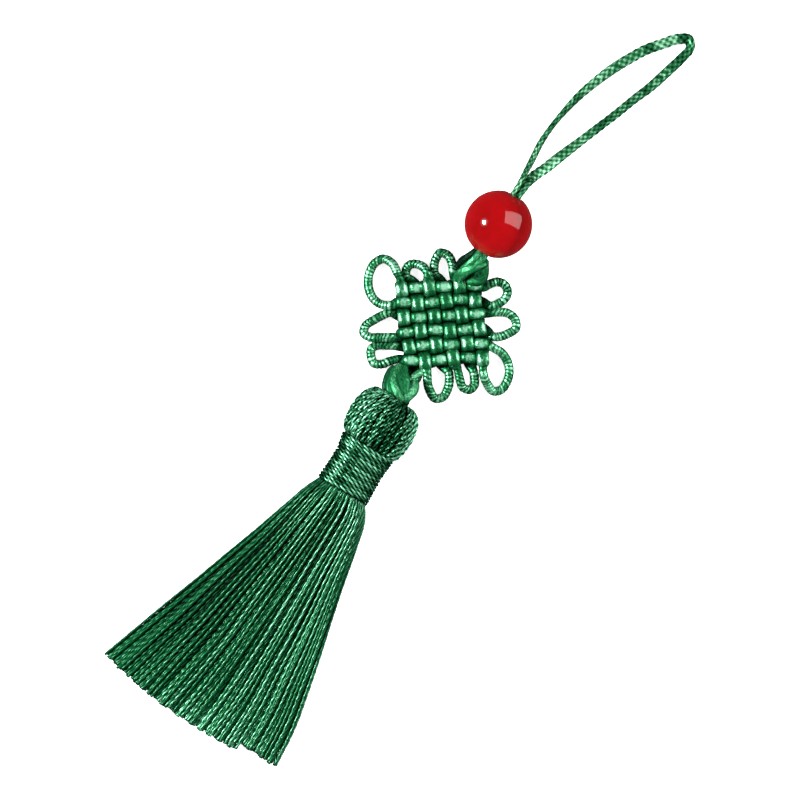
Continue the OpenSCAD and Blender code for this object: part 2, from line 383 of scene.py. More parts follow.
@dataclass(frozen=True)
class SilkyFinish:
    """Dyed viscose filament, spun without crimp, as cord or as thread.

    Such filaments are clear rods: they throw light back in their own colour, so the piece is bright
    mint where it faces a lamp. Its colour also follows the crest and tone notes, so its grooves are
    painted nearly black green as shade, and its ridges and painted bands of light are lighter.
    """

    name: str
    # Colours of the painted shade in grooves, of the cord itself, and of lit ridges and painted
    # highlights
    deep: str
    body: str
    bright: str
    roughness: float
    gleam: float
    # Streaks a millimetre, across the tube both ways and along it. A filament of 0.02 mm is too fine
    # to show, so each streak is a bundle of them
    filament: Point
    relief_mm: float
    streak: float
    coat: float = 0.6
    # Angle of the filaments to the cord's length, where a braid crosses them
    lay: float = 0.0
    # How much the ridges, painted light against the grooves' painted shade, and the tone note with its
    # painted light and shade count, and where deep and body stand
    ridge_weight: float = 0.62
    tone_weight: float = 0.5
    deep_at: float = 0.2
    body_at: float = 0.66

    def material(self) -> bpy.types.Material:
        """Builds the node tree.

        Returns:
            The material.
        """
        made = blank(self.name)
        tree = made.node_tree
        rest, crest, tone = (add(tree, "ShaderNodeAttribute", {"attribute_name": name})
                             for name in ("rest", "crest", "tone"))
        layers = []
        for side in (-1, 1):
            laid = add(tree, "ShaderNodeMapping",
                       {"Rotation": (0.0, side * math.radians(self.lay), 0.0)},
                       {"Vector": rest.outputs["Vector"]})
            drawn = add(tree, "ShaderNodeMapping", {"Scale": self.filament},
                        {"Vector": laid.outputs["Vector"]})
            layers.append(add(tree, "ShaderNodeTexNoise",
                              {"Scale": 1.0, "Detail": 2.0, "Roughness": 0.6},
                              {"Vector": drawn.outputs["Vector"]}))
        fibres = add(tree, "ShaderNodeMath", {"operation": "MAXIMUM"},
                     {0: layers[0].outputs["Fac"], 1: layers[1].outputs["Fac"]})
        uneven = add(tree, "ShaderNodeMath",
                     {"operation": "MULTIPLY_ADD", 1: self.streak, 2: -self.streak / 2},
                     {0: fibres.outputs[0]})
        ridge = add(tree, "ShaderNodeMath", {"operation": "MULTIPLY", 1: self.ridge_weight},
                    {0: crest.outputs["Fac"]})
        lightness = add(tree, "ShaderNodeMath", {"operation": "MULTIPLY_ADD", 1: self.tone_weight},
                        {0: tone.outputs["Fac"], 2: ridge.outputs[0]})
        place = add(tree, "ShaderNodeMath", {"operation": "ADD", "use_clamp": True},
                    {0: lightness.outputs[0], 1: uneven.outputs[0]})
        ramp = add(tree, "ShaderNodeValToRGB", {}, {"Fac": place.outputs[0]})
        stops = ramp.color_ramp.elements
        stops[0].position = self.deep_at
        stops[0].color = linear(self.deep)
        # The second stop already stands at the end
        stops[1].color = linear(self.bright)
        stops.new(self.body_at).color = linear(self.body)
        bump = add(tree, "ShaderNodeBump", {"Strength": 1.0, "Distance": self.relief_mm * MM},
                   {"Height": fibres.outputs[0]})
        # The gloss stays on the ridges: it begins a third of the way up
        gloss = add(tree, "ShaderNodeMath",
                    {"operation": "MULTIPLY_ADD", "use_clamp": True, 1: 1.5 * self.coat,
                     2: -0.5 * self.coat},
                    {0: place.outputs[0]})
        shader = add(tree, "ShaderNodeBsdfPrincipled",
                     {"Metallic": self.gleam, "Roughness": self.roughness, "IOR": 1.53,
                      "Specular IOR Level": 0.05, "Coat Roughness": 0.2, "Coat IOR": 1.55},
                     {"Base Color": ramp.outputs["Color"], "Normal": bump.outputs["Normal"],
                      "Coat Weight": gloss.outputs[0]})
        add(tree, "ShaderNodeOutputMaterial", {}, {"Surface": shader.outputs["BSDF"]})
        return made


# Satin knotting cord: a braided viscose sleeve pulled smooth, with a soft gloss along the filaments.
SATIN_CORD = SilkyFinish(
    "satin_viscose_cord", deep="#00150A", body="#1E7443", bright="#9AE8BE", roughness=0.32, gleam=0.65,
    filament=(4.2, 4.2, 1.2), relief_mm=0.045, streak=0.95, coat=0.42, lay=38.0)
# The same cord where it is tied tight in a small knot: drawn wide, so its gloss is softer.
TIED_CORD = replace(SATIN_CORD, name="satin_viscose_cord_tied", roughness=0.42, gleam=0.5, coat=0.25)
# Viscose braided flat for the loop: the dots are its single carriers, with painted shade in the gaps
# between them.
FLAT_BRAID = SilkyFinish(
    "flat_braided_viscose", deep="#01180A", body="#287646", bright="#A8E8C0", roughness=0.34,
    gleam=0.55, filament=(6.0, 6.0, 3.0), relief_mm=0.015, streak=0.6)
# Tassel thread: two plies of loosely twisted viscose, darker than the cord, with painted shade between
# its plies.
PLIED_THREAD = SilkyFinish(
    "two_ply_viscose_thread", deep="#000C04", body="#0F5832", bright="#86DEB0", roughness=0.36,
    gleam=0.6, filament=(4.0, 4.0, 0.8), relief_mm=0.004, streak=0.22, coat=0.45)


@dataclass(frozen=True)
class ResinFinish:
    """Cast resin, tumbled glossy: a deep even red under a clear, hard shine."""

    name: str = "tumbled_cast_resin"
    body: str = "#8B050A"
    darker: str = "#820407"
    roughness: float = 0.07
    # How evenly the bead's body is lit
    spread: float = 3.0
    # Clouds of pigment about 2 mm across, and tumbling marks of about 0.3 mm
    cloud_scale: float = 450.0
    mark_scale: float = 3200.0
    mark_haze: float = 0.05

    def material(self) -> bpy.types.Material:
        """Builds the node tree.

        Returns:
            The material.
        """
        made = blank(self.name)
        tree = made.node_tree
        place = add(tree, "ShaderNodeTexCoord")
        clouds = add(tree, "ShaderNodeTexNoise", {"Scale": self.cloud_scale, "Detail": 3.0},
                     {"Vector": place.outputs["Object"]})
        marks = add(tree, "ShaderNodeTexNoise", {"Scale": self.mark_scale, "Detail": 2.0},
                    {"Vector": place.outputs["Object"]})
        ramp = add(tree, "ShaderNodeValToRGB", {}, {"Fac": clouds.outputs["Fac"]})
        for stop, position, code in zip(ramp.color_ramp.elements, (0.3, 0.7), (self.darker, self.body)):
            stop.position = position
            stop.color = linear(code)
        haze = add(tree, "ShaderNodeMath",
                   {"operation": "MULTIPLY_ADD", 1: self.mark_haze,
                    2: self.roughness - self.mark_haze / 2},
                   {0: marks.outputs["Fac"]})
        # Light wanders through the resin, so its body shades as if its surface faced more upwards
        middle = [c * MM for c in BEAD_AT]
        out = add(tree, "ShaderNodeVectorMath", {"operation": "SUBTRACT", 1: middle},
                  {0: place.outputs["Object"]})
        facing = add(tree, "ShaderNodeVectorMath", {"operation": "NORMALIZE"},
                     {0: out.outputs["Vector"]})
        eased = add(tree, "ShaderNodeVectorMath",
                    {"operation": "ADD", 1: (0.0, 0.0, self.spread)}, {0: facing.outputs["Vector"]})
        body = add(tree, "ShaderNodeVectorMath", {"operation": "NORMALIZE"},
                   {0: eased.outputs["Vector"]})
        shader = add(tree, "ShaderNodeBsdfPrincipled",
                     {"IOR": 1.5, "Roughness": 0.5, "Specular IOR Level": 0.0,
                      "Subsurface Weight": 0.6, "Subsurface Scale": 0.006,
                      "Subsurface Radius": (1.0, 0.12, 0.1), "Coat Weight": 0.85,
                      "Coat IOR": 1.5},
                     {"Base Color": ramp.outputs["Color"], "Normal": body.outputs["Vector"],
                      "Coat Roughness": haze.outputs[0]})
        add(tree, "ShaderNodeOutputMaterial", {}, {"Surface": shader.outputs["BSDF"]})
        return made


# Camera and lights


@dataclass(frozen=True)
class Lamp:
    """Area lamp that shines on the bead, laid out in the image's directions.

    The lamp's middle, and the ways from one of its sides and edges to the other, are given in lamp
    distances. A lamp that isn't mirrored gives soft light without a reflection of itself.
    """

    name: str
    middle: Point
    right: Point
    up: Point
    radiance: float
    disk: bool = False
    mirrored: bool = True


# A soft window on the right with a fill below it, and a small shaded lamp on the left
LAMPS = (
    Lamp("window", (0.64, 0.2, 0.465), (0.575, -0.346, -0.684), (0.025, 0.552, -0.325), 4.2),
    Lamp("small_lamp", (-0.77, 0.088, 0.627), (0.13, 0.0, 0.16), (0.0, 0.2, 0.0), 200.0, disk=True),
    Lamp("lamp_shade", (-0.79, 0.09, 0.643), (0.3, 0.0, 0.37), (0.0, 0.46, 0.0), 1.8, disk=True),
    Lamp("fill", (0.74, -0.5, 0.42), (0.4, 0.6, 0.0), (-0.3, 0.0, 0.5), 7.0, mirrored=False),
)


@dataclass
class Studio:
    """Plain table, soft lamps and a camera that looks straight down, as in the photograph."""

    view_mm: float = 118.0
    centre: tuple[float, float] = (-1.38, 11.34)
    lens_mm: float = 220.0
    focus_height: float = 2.5
    clip_m: tuple[float, float] = (0.01, 20.0)
    lamp_distance: float = 0.6
    room_light: float = 0.09
    table_size: float = 3.0
    table_cells: int = 8

    def from_image(self, direction: Point) -> Vector:
        """Turns a direction given as right, up and out of the image to the part's frame."""
        return Matrix.Rotation(math.radians(IMAGE_TURN), 3, "Z") @ Vector(direction)

    def camera(self) -> None:
        """Hangs the camera over the pendant."""
        data = bpy.data.cameras.new("camera")
        data.lens = self.lens_mm
        data.clip_start, data.clip_end = self.clip_m
        eye = put("camera", data)
        distance = self.view_mm * self.lens_mm / data.sensor_width
        eye.location = (self.centre[0] * MM, self.centre[1] * MM,
                        (distance + self.focus_height) * MM)
        eye.rotation_euler = (0.0, 0.0, math.radians(IMAGE_TURN))
        bpy.context.scene.camera = eye

    def hang(self, lamp: Lamp) -> None:
        """Hangs a lamp at its place round the bead.

        Args:
            lamp: Lamp to hang.
        """
        data = bpy.data.lights.new(lamp.name, "AREA")
        data.shape = "ELLIPSE" if lamp.disk else "RECTANGLE"
        data.size = Vector(lamp.right).length * self.lamp_distance
        data.size_y = Vector(lamp.up).length * self.lamp_distance
        area = data.size * data.size_y * (math.pi / 4 if lamp.disk else 1.0)
        data.energy = lamp.radiance * math.pi * area
        hung = put(lamp.name, data)
        hung.visible_glossy = lamp.mirrored
        away = self.from_image(lamp.middle)
        back = away.normalized()
        side = self.from_image(lamp.right)
        side = (side - back * side.dot(back)).normalized()
        turn = Matrix((side, back.cross(side), back)).transposed().to_4x4()
        middle = Vector(BEAD_AT) * MM + away * self.lamp_distance
        hung.matrix_world = Matrix.Translation(middle) @ turn

    def room(self) -> None:
        """Fills the room with a little even light."""
        world = bpy.data.worlds.new("room")
        world.use_nodes = True
        ground = world.node_tree.nodes["Background"]
        ground.inputs["Color"].default_value = linear("#F4F7F5")
        ground.inputs["Strength"].default_value = self.room_light
        bpy.context.scene.world = world

    def table(self) -> None:
        """Lays the plain white table top that the pendant lies on."""
        made = blank("white_table_lacquer")
        tree = made.node_tree
        place = add(tree, "ShaderNodeTexCoord")
        # Grain about 1 mm across that only breaks the lacquer's shine
        grain = add(tree, "ShaderNodeTexNoise", {"Scale": 900.0, "Detail": 3.0},
                    {"Vector": place.outputs["Object"]})
        bump = add(tree, "ShaderNodeBump", {"Strength": 0.1, "Distance": 0.00002},
                   {"Height": grain.outputs["Fac"]})
        shader = add(tree, "ShaderNodeBsdfPrincipled",
                     {"Base Color": linear("#F3F4F3"), "Roughness": 0.85, "IOR": 1.45,
                      "Specular IOR Level": 0.2, "Emission Color": linear("#FFFFFF"),
                      "Emission Strength": 0.85},
                     {"Normal": bump.outputs["Normal"]})
        add(tree, "ShaderNodeOutputMaterial", {}, {"Surface": shader.outputs["BSDF"]})
        bm = bmesh.new()
        bmesh.ops.create_grid(bm, x_segments=self.table_cells, y_segments=self.table_cells,
                              size=self.table_size)
        mesh = bpy.data.meshes.new("table_top")
        bm.to_mesh(mesh)
        bm.free()
        mesh.materials.append(made)
        floor = put("table_top", mesh)
        floor.visible_glossy = floor.visible_diffuse = False

    def build(self) -> None:
        """Sets up the camera, the lamps and the table."""
        bpy.context.scene.view_settings.view_transform = "Standard"
        self.camera()
        for lamp in LAMPS:
            self.hang(lamp)
        self.room()
        self.table()
        LOG.info("camera, lamps and table are up")


# Hanging loop


@dataclass
class HangingLoop:
    """Flat braided cord that leaves the bead, runs round the loop and goes back into the bead."""

    width: float = 1.7
    thickness: float = 0.9
    dot_pitch: float = 1.06
    columns: int = 5
    dot_depth: float = 0.075
    # Powers that square the cord's outline and broaden its dots
    square: float = 0.8
    broad: float = 0.8
    step: float = 0.1
    sides: int = 28
    # How much the lightness differs from dot to dot and swings along the cord
    dot_tone: float = 0.3
    swing_tone: float = 0.1
    seed: int = 5
    # x, y, z from the knot's middle, and the turn about its own length: at 0 it lies flat
    route: tuple[tuple[float, float, float, float], ...] = (
        (-3.2, 20.2, 5.3, 90), (-3.4, 21.5, 5.4, 80), (-3.55, 23.0, 5.1, 82), (-3.95, 25.0, 3.9, 82),
        (-4.4, 27.5, 2.2, 72), (-4.9, 30.0, 1.2, 75), (-5.1, 33.0, 0.9, 90), (-5.0, 36.0, 0.9, 75),
        (-4.7, 39.0, 0.8, 55), (-4.1, 42.0, 0.7, 40), (-3.3, 45.0, 0.6, 25), (-2.2, 48.0, 0.5, 10),
        (-1.1, 50.5, 0.5, 0), (0.3, 52.7, 0.5, 0), (1.7, 54.7, 0.6, 10), (2.9, 55.5, 0.8, 30),
        (3.8, 54.8, 0.9, 45), (3.8, 52.7, 0.9, 35), (3.4, 50.0, 0.9, 30), (2.8, 46.5, 0.8, 35),
        (2.0, 43.5, 0.8, 45), (1.2, 40.0, 0.8, 48), (0.4, 37.0, 0.9, 46), (-0.5, 33.5, 0.8, 40),
        (-1.3, 30.5, 1.1, 25), (-2.0, 27.5, 2.1, 8), (-2.7, 25.0, 3.6, 10), (-2.75, 23.6, 4.6, 45),
        (-2.65, 22.5, 5.1, 65), (-2.6, 21.5, 5.4, 76), (-2.45, 20.3, 5.3, 90))
    # Painted light and shade along the cord, by share of its length, dark at the far fold
    painted_light: tuple[tuple[float, float], ...] = (
        (0.0, 0.6), (0.06, 0.5), (0.12, 0.35), (0.22, 0.3), (0.28, 0.65), (0.34, 0.75), (0.4, 0.4),
        (0.43, 0.35), (0.45, 0.8), (0.48, 0.7), (0.5, 0.1), (0.54, 0.15), (0.6, 0.4), (0.7, 0.35),
        (0.8, 0.55), (0.9, 0.65), (1.0, 0.5))

    def build(self) -> bpy.types.Object:
        """Makes the cord, with the dots of its braid raised from the surface.

        Returns:
            The finished cord.
        """
        rows = smooth_rows(np.array(self.route), step=self.step)
        path, turn, reach = rows[:, :3] + KNOT_AT, np.radians(rows[:, 3]), rows[:, -1]
        angle = circle(self.sides)
        swing = 2 * math.pi * reach[:, None] / self.dot_pitch
        # The braid's dots, raised from the surface; as the crest note they also paint the gaps between
        # the dots dark, as painted shade
        dots = 0.5 + 0.5 * np.cos(swing) * np.cos(self.columns * angle[None, :])
        dots = dots ** self.broad
        proud = 1 - self.dot_depth * (1 - dots) * 2
        flat = np.stack([squared(np.cos(angle), self.square) * self.width / 2,
                         squared(np.sin(angle), self.square) * self.thickness / 2], axis=-1)
        rings = tube_rings(path, flat[None] * proud[..., None], turn)
        # Painted light and shade along the braid, a swing of lightness round and along it, and each
        # dot's tone a little different at random
        dot = (np.floor(2 * reach[:, None] / self.dot_pitch).astype(int) * self.columns
               + np.floor(self.columns * angle / (2 * math.pi) + 0.5).astype(int) % self.columns)
        rng = np.random.default_rng(self.seed)
        tone = (np.interp(reach / reach[-1], *np.array(self.painted_light).T)[:, None]
                + self.swing_tone * np.sin(reach[:, None] * 0.83 + angle)
                + rng.uniform(-self.dot_tone, self.dot_tone, dot.max() + 1)[dot])
        bundle = Bundle("braided_loop")
        bundle.tube(rings, straightened(flat, reach), crest=dots, tone=tone)
        cord = bundle.finish(FLAT_BRAID.material(), "hanging_loop")
        return cord


# Woven knot


class Lie(Enum):
    """How a strand lies at a point of the woven knot.

    Each value holds its width, thickness, ribs, openness to light, which paints the strand darker as
    shade where its neighbours shut it in, and relief: 1 where it is pressed hollow along its middle,
    painted dark there and lighter at its rim, and -1 where its middle is the ridge, painted as a
    highlight along it.
    """

    COLUMN_OVER = (1.84, 1.3, 0.0, 1.0, 1.0)
    ROW_OVER = (1.6, 1.15, 0.2, 1.0, -1.0)
    BETWEEN = (2.36, 0.9, 0.0, 0.12, 0.0)
    EDGE_BETWEEN = (2.1, 0.9, 0.0, 0.12, 0.0)
    UNDER = (2.5, 0.7, 0.0, 0.0, 0.0)
    LAST_UNDER = (2.0, 0.8, 0.0, 0.22, 0.0)
    LOW_NECK = (1.75, 0.95, 0.3, 0.24, 0.0)
    HIGH_NECK = (1.35, 0.95, 0.5, 0.4, 0.0)
    EAR = (1.4, 1.4, 1.0, 0.95, 0.0)


@dataclass
class WovenKnot:
    """Knot of six rows and six columns of satin cord, with ten ears round its edge."""

    pitch: float = 2.15
    row_angle: float = 40.8
    col_angle: float = 135.2
    strands: int = 6
    # Height of the weave's middle, how far a strand rises and falls from it, and the room below
    middle: float = 1.35
    rise: float = 0.9
    lift: float = 0.1
    # How far a pass that dips at the edge moves outwards there, and how crooked the weave is
    push: float = 0.1
    uneven: float = 0.13
    # Steps from crossing to crossing and past the last one, and how long a strand stays level
    cuts: int = 8
    run_out: int = 3
    level: float = 1.45
    step: float = 0.09
    sides: int = 20
    rib_pitch: float = 0.53
    rib_depth: float = 0.04
    rib_bend: float = 0.4
    rib_count: int = 900
    # Depth and breadth of the hollow in a pressed pillow, and breadth over which its painted shade
    # turns into the painted highlight of its rim
    hollow: float = 0.15
    hollow_breadth: float = 0.32
    facet_breadth: float = 0.62
    # Ears are drawn in this close to the weave, and lower where they leave it above this height
    neck_reach: float = 0.5
    neck_height: float = 1.5
    neck_drop: float = 0.35
    body_tone: float = 0.35
    # Ridge note beside the pillows, of a rib's flank, the height that counts as flank, and how fast the
    # note fades where light can't reach, as painted shade; rib grooves are painted dark as well
    plain_crest: float = 0.68
    rib_crest: float = 0.27
    flank: float = 0.85
    fade: float = 1.4
    # Ridge note in a hollow pillow's middle, painted dark as shade, and the painted highlight that its
    # rim adds; a ridged one's, painted as a highlight along its middle, and what its sides lose
    facet_crest: tuple[float, float] = (0.6, 0.48)
    dome_crest: tuple[float, float] = (1.2, 0.8)
    # Height of a strand's wave where it lies under, between and over its neighbours
    lie_heights: ClassVar[tuple[float, ...]] = (-1, 0.3, 0.85, 1)
    # Painted share of light along a pillow, darker where it dips: height of the strand's wave, then the
    # share there
    row_dips: ClassVar[tuple[tuple[float, ...], ...]] = ((0.3, 0.6, 1.0, 1.25), (1, 0.35, 0.7, 1))
    column_dips: ClassVar[tuple[tuple[float, ...], ...]] = ((0.3, 0.6, 1.0, 1.3), (1, 0.55, 0.8, 1))

    # Ears in the weave's own directions: along the rows, along the columns, height
    ears: ClassVar[dict[str, tuple[Point, ...]]] = {
        "top_left": ((-3.8, 6.4, 0.65), (-4.3, 7.2, 0.75), (-4.1, 8.2, 0.9), (-3.4, 8.9, 1.1),
                     (-2.5, 8.9, 1.3), (-1.7, 8.3, 1.6), (-1.2, 7.3, 1.9)),
        "top_right": ((0.6, 6.4, 0.6), (-0.1, 7.3, 0.75), (-0.2, 8.4, 0.9), (0.1, 9.5, 1.1),
                      (0.9, 10.4, 1.2), (2.0, 10.0, 1.3), (2.6, 8.9, 1.5), (2.6, 7.6, 1.8),
                      (2.7, 6.5, 2.1)),
        "right_upper": ((6.4, 2.8, 0.6), (7.3, 2.2, 0.75), (8.5, 2.5, 0.9), (9.6, 3.1, 1.0),
                        (10.2, 4.1, 1.2), (9.9, 5.2, 1.4), (9.0, 5.7, 1.6), (7.8, 5.5, 1.9),
                        (6.6, 5.1, 2.2)),
        "right_lower": ((6.5, -1.7, 0.55), (7.3, -2.3, 0.75), (8.5, -2.4, 0.85), (9.7, -2.0, 0.95),
                        (10.8, -1.1, 1.05), (10.8, 0.2, 1.2), (9.8, 1.1, 1.4), (8.3, 1.2, 1.7),
                        (6.8, 1.0, 2.1)),
        "left_upper": ((-6.4, 1.5, 0.65), (-7.3, 1.8, 0.75), (-8.6, 1.6, 0.8), (-10.0, 1.1, 0.9),
                       (-11.3, 0.2, 1.0), (-11.6, -0.8, 1.2), (-10.9, -1.7, 1.6),
                       (-9.4, -1.7, 1.9), (-7.9, -1.6, 2.0), (-6.6, -1.5, 2.1)),
        "left_lower": ((-6.4, -2.9, 0.65), (-7.4, -2.8, 0.75), (-8.6, -2.8, 0.75),
                       (-9.8, -2.9, 0.75), (-10.8, -3.4, 0.85), (-11.0, -4.4, 1.1),
                       (-10.6, -5.4, 1.3), (-9.6, -5.6, 1.5), (-8.2, -5.3, 1.8),
                       (-6.8, -5.1, 2.1)),
        "bottom_left": ((-0.6, -6.4, 0.6), (-0.1, -7.3, 0.75), (-0.1, -8.5, 0.85),
                        (-0.4, -9.7, 0.95), (-1.2, -11.0, 1.1), (-2.3, -11.2, 1.2),
                        (-3.0, -10.2, 1.4), (-3.2, -8.8, 1.7), (-3.1, -7.4, 2.0)),
        "bottom_right": ((3.6, -6.4, 0.65), (3.9, -7.3, 0.75), (3.9, -8.3, 0.75), (3.6, -9.4, 0.9),
                         (2.7, -10.0, 1.2), (1.9, -9.5, 1.4), (1.6, -8.2, 1.7), (1.4, -6.9, 2.1)),
        "corner_left": ((-5.3, 6.7, 2.2), (-5.6, 7.9, 1.8), (-6.3, 9.2, 1.3), (-7.5, 9.9, 0.9),
                        (-8.8, 9.5, 0.8), (-9.7, 8.2, 0.8), (-10.1, 6.6, 0.8), (-10.0, 5.1, 0.9),
                        (-9.3, 3.9, 1.1), (-8.2, 3.1, 1.5), (-7.0, 2.9, 1.9)),
        "corner_right": ((5.3, -6.7, 2.2), (5.2, -8.0, 1.9), (5.5, -9.4, 1.3), (6.4, -10.5, 0.9),
                         (7.6, -10.3, 0.8), (8.4, -9.3, 0.8), (8.9, -7.8, 0.8), (8.8, -6.3, 0.9),
                         (8.2, -4.9, 1.2), (7.0, -3.8, 1.8)),
        "end_upper": ((4.3, 7.3, 1.1), (4.7, 6.6, 0.6)),
        "end_lower": ((-5.1, -8.3, 1.8), (-4.5, -7.9, 1.2), (-4.4, -7.2, 0.7), (-4.8, -6.5, 0.6)),
        "tuck_left": ((-6.1, 5.4, 0.65),),
        "tuck_right": ((6.1, -5.4, 0.65),),
    }

    def place(self, index: int) -> float:
        """Distance of a strand from the knot's middle."""
        return (index - (self.strands + 1) / 2) * self.pitch

    def crossings(self, first_low: bool, over: Lie, outermost: bool) -> Route:
        """Height and thickness of a strand along its six crossings.

        Args:
            first_low: True where it starts under its neighbour.
            over: How it lies where it is on top.
            outermost: True for the knot's first and last strand of a direction.

        Returns:
            Rows of distance and height with the five numbers of the lie.
        """
        rows = []
        last = (self.strands - 1) * self.cuts
        dips = self.row_dips if over is Lie.ROW_OVER else self.column_dips
        for k in range(-self.run_out, last + self.run_out + 1):
            wave = self.level * math.cos(math.pi * k / self.cuts) * (-1 if first_low else 1)
            swing = np.clip(wave, -1, 1)
            beyond = k < self.cuts / 2 or k > last - self.cuts / 2
            under = Lie.LAST_UNDER if beyond or outermost else Lie.UNDER
            between = Lie.EDGE_BETWEEN if outermost else Lie.BETWEEN
            between = over if beyond else between
            if swing < 0 and not 0 <= k <= last:
                continue
            kinds = np.array([under.value, between.value, over.value, over.value])
            mixed = [np.interp(swing, self.lie_heights, kind) for kind in kinds.T]
            # Painted shade: a pillow is darker where it dips under its neighbours
            mixed[3] *= np.interp(wave, *dips)
            rows.append([k / self.cuts * self.pitch, self.middle + self.rise * swing, *mixed])
        return rows

    def through(self, index: int, first_low: bool, over: Lie) -> Route:
        """One pass through the weave.

        Args:
            index: Number of the row or column.
            first_low: True where it starts under its neighbour.
            over: How it lies where it is on top.

        Returns:
            Rows of the place along the pass, the step aside and the height, with the lie's numbers.
        """
        start = self.place(self.strands)
        points = []
        for along, height, *shape in self.crossings(first_low, over, index in (1, self.strands)):
            low = height < self.middle
            end = (along > (self.strands - 1.5) * self.pitch) - (along < 0.5 * self.pitch)
            points.append([start - along, self.push * low * end, height, *shape])
        return points

    def row(self, row: int) -> Route:
        """One row from the last column to the first."""
        points = self.through(row, (row + self.strands) % 2 == 0, Lie.ROW_OVER)
        return [[along, aside - self.place(row), *rest] for along, aside, *rest in points]

    def column(self, col: int) -> Route:
        """One column from the first row to the last."""
        points = self.through(col, (1 + col) % 2 != 0, Lie.COLUMN_OVER)
        return [[self.place(col) + aside, along, *rest] for along, aside, *rest in points]

    def ear(self, name: str) -> Route:
        """One ear of the table, drawn in where it leaves the weave.

        Args:
            name: Name of the ear.

        Returns:
            Rows of the places in the weave's own directions and the height, with the lie's numbers.
        """
        edge = self.place(self.strands) + self.pitch / 2
        points = []
        for u, v, z in self.ears[name]:
            neck = max(abs(u), abs(v)) < edge + self.neck_reach
            high = z > self.neck_height
            drawn_in = Lie.HIGH_NECK if high else Lie.LOW_NECK
            lie = drawn_in if neck else Lie.EAR
            points.append([u, v, z - self.neck_drop * (neck and high), *lie.value])
        return points

    def laid_out(self, parts: list[Route]) -> np.ndarray:
        """Turns passes and ears from the weave's own directions to the part's.

        The knot is drawn tight unevenly, so its rows and columns come out a little crooked.

        Args:
            parts: Passes and ears in their order along the strand.

        Returns:
            Rows of x, y and height from the knot's middle, with the lie's numbers.
        """
        a, b = math.radians(self.row_angle), math.radians(self.col_angle)
        table = np.array([point for part in parts for point in part])
        flat = (table[:, :1] * [[math.cos(a), math.sin(a)]]
                + table[:, 1:2] * [[math.cos(b), math.sin(b)]])
        flat = flat + self.uneven * np.sin(flat[:, ::-1] * [0.95, 1.1] + [1.0, 2.4])
        return np.column_stack([flat, table[:, 2] + self.lift, table[:, 3:]])

    def ribs(self, reach: np.ndarray, angle: np.ndarray, seed: int) -> tuple[np.ndarray, ...]:
        """Ribs across the cord, each with its own slant, light and depth.

        Args:
            reach: Distance along the strand, one a ring.
            angle: Angle of each side.
            seed: Number that sets this strand apart from the others.

        Returns:
            Height of the ribs from 0 to 1, their lightness and their depth, by ring and side.
        """
        rng = np.random.default_rng(seed * 7)
        uneven = 0.5 * np.sin(reach * 1.1) + 0.35 * np.sin(reach * 2.7 + 1.0)
        slant = 0.55 * np.sin(reach * 0.45 + seed)[:, None]
        phase = reach[:, None] / self.rib_pitch + slant * np.cos(angle + 0.6) + 0.3 * uneven[:, None]
        phase = phase + self.rib_bend * np.abs(np.cos(angle + 0.4))
        rib = np.floor(phase + 0.5).astype(int)
        lights = rng.uniform(-0.4, 0.22, self.rib_count)[rib]
        deep = rng.uniform(0.4, 1.8, self.rib_count)[rib]
        return np.abs(np.cos(math.pi * phase)) ** 0.7, lights, deep

    def strand(self, name: str, node: str, closed: bool, parts: list[Route],
               material: bpy.types.Material) -> bpy.types.Object:
        """Makes one strand, ribbed across in its ears and drawn smooth in the weave.

        Args:
            name: Name of the piece.
            node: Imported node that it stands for.
            closed: True where its end meets its start.
            parts: Passes and ears in their order along the strand.
            material: Finish of the cord.

        Returns:
            The finished strand.
        """
        rows = smooth_rows(self.laid_out(parts), step=self.step, closed=closed)
        path, reach = rows[:, :3] + KNOT_AT, rows[:, -1]
        width, thickness, ribbed, light, relief = (rows[:, k : k + 1] for k in range(3, 8))
        ribbed, light = np.clip(ribbed, 0, 1), np.clip(light, 0, 1)
        pressed, ridged = np.clip(relief, 0, 1), np.clip(-relief, 0, 1)
        angle, seed = circle(self.sides)[None, :], len(name)
        ribs, lights, deep = self.ribs(reach, angle, seed)
        proud = 1 - ribbed * self.rib_depth * 2 * (1 - ribs) * deep
        square = 0.72 + 0.28 * np.clip(ribbed + pressed, 0, 1)
        # Each pillow is pressed at a slightly different place and is painted a little lighter or
        # darker, as if it caught more or less light
        aside = np.cos(angle) - (0.08 + 0.18 * np.sin(reach * 1.46 + seed))[:, None]
        share = (0.16 * np.sin(reach * 1.9 + 2) + 0.1 * np.sin(reach * 0.71))[:, None]
        sunk = 1 - self.hollow * pressed * np.exp(-(aside / self.hollow_breadth) ** 2)
        outline = np.stack([squared(np.cos(angle), square) * width / 2 * proud,
                            squared(np.sin(angle), square) * thickness / 2 * proud * sunk], axis=-1)
        rings = tube_rings(path, outline, closed=closed)
        around = np.stack([np.cos(angle), np.sin(angle)], axis=-1) * Lie.EAR.value[0] / 2
        # Painted shade and highlights: a hollow pillow dark in its middle and light at its rim, a
        # ridged one light along its middle, rib grooves dark, and all darker where light can't reach
        least, rim = self.facet_crest
        facets = least + rim * np.clip((aside / self.facet_breadth) ** 2, 0, 1)
        most, loss = self.dome_crest
        dome = most - loss * (np.cos(angle) - 0.1) ** 2
        plain = self.plain_crest * (1 - pressed - ridged) + facets * pressed + dome * ridged
        ribbing = ribbed * (self.rib_crest + (ribs - self.flank) * deep)
        crest = (plain + ribbing) * light**self.fade
        tone = self.body_tone + ribbed * lights + share * np.clip(pressed + ridged, 0, 1)
        bundle = Bundle(name)
        bundle.tube(rings, straightened(around, reach), crest=crest, tone=tone, closed=closed)
        return bundle.finish(material, node)

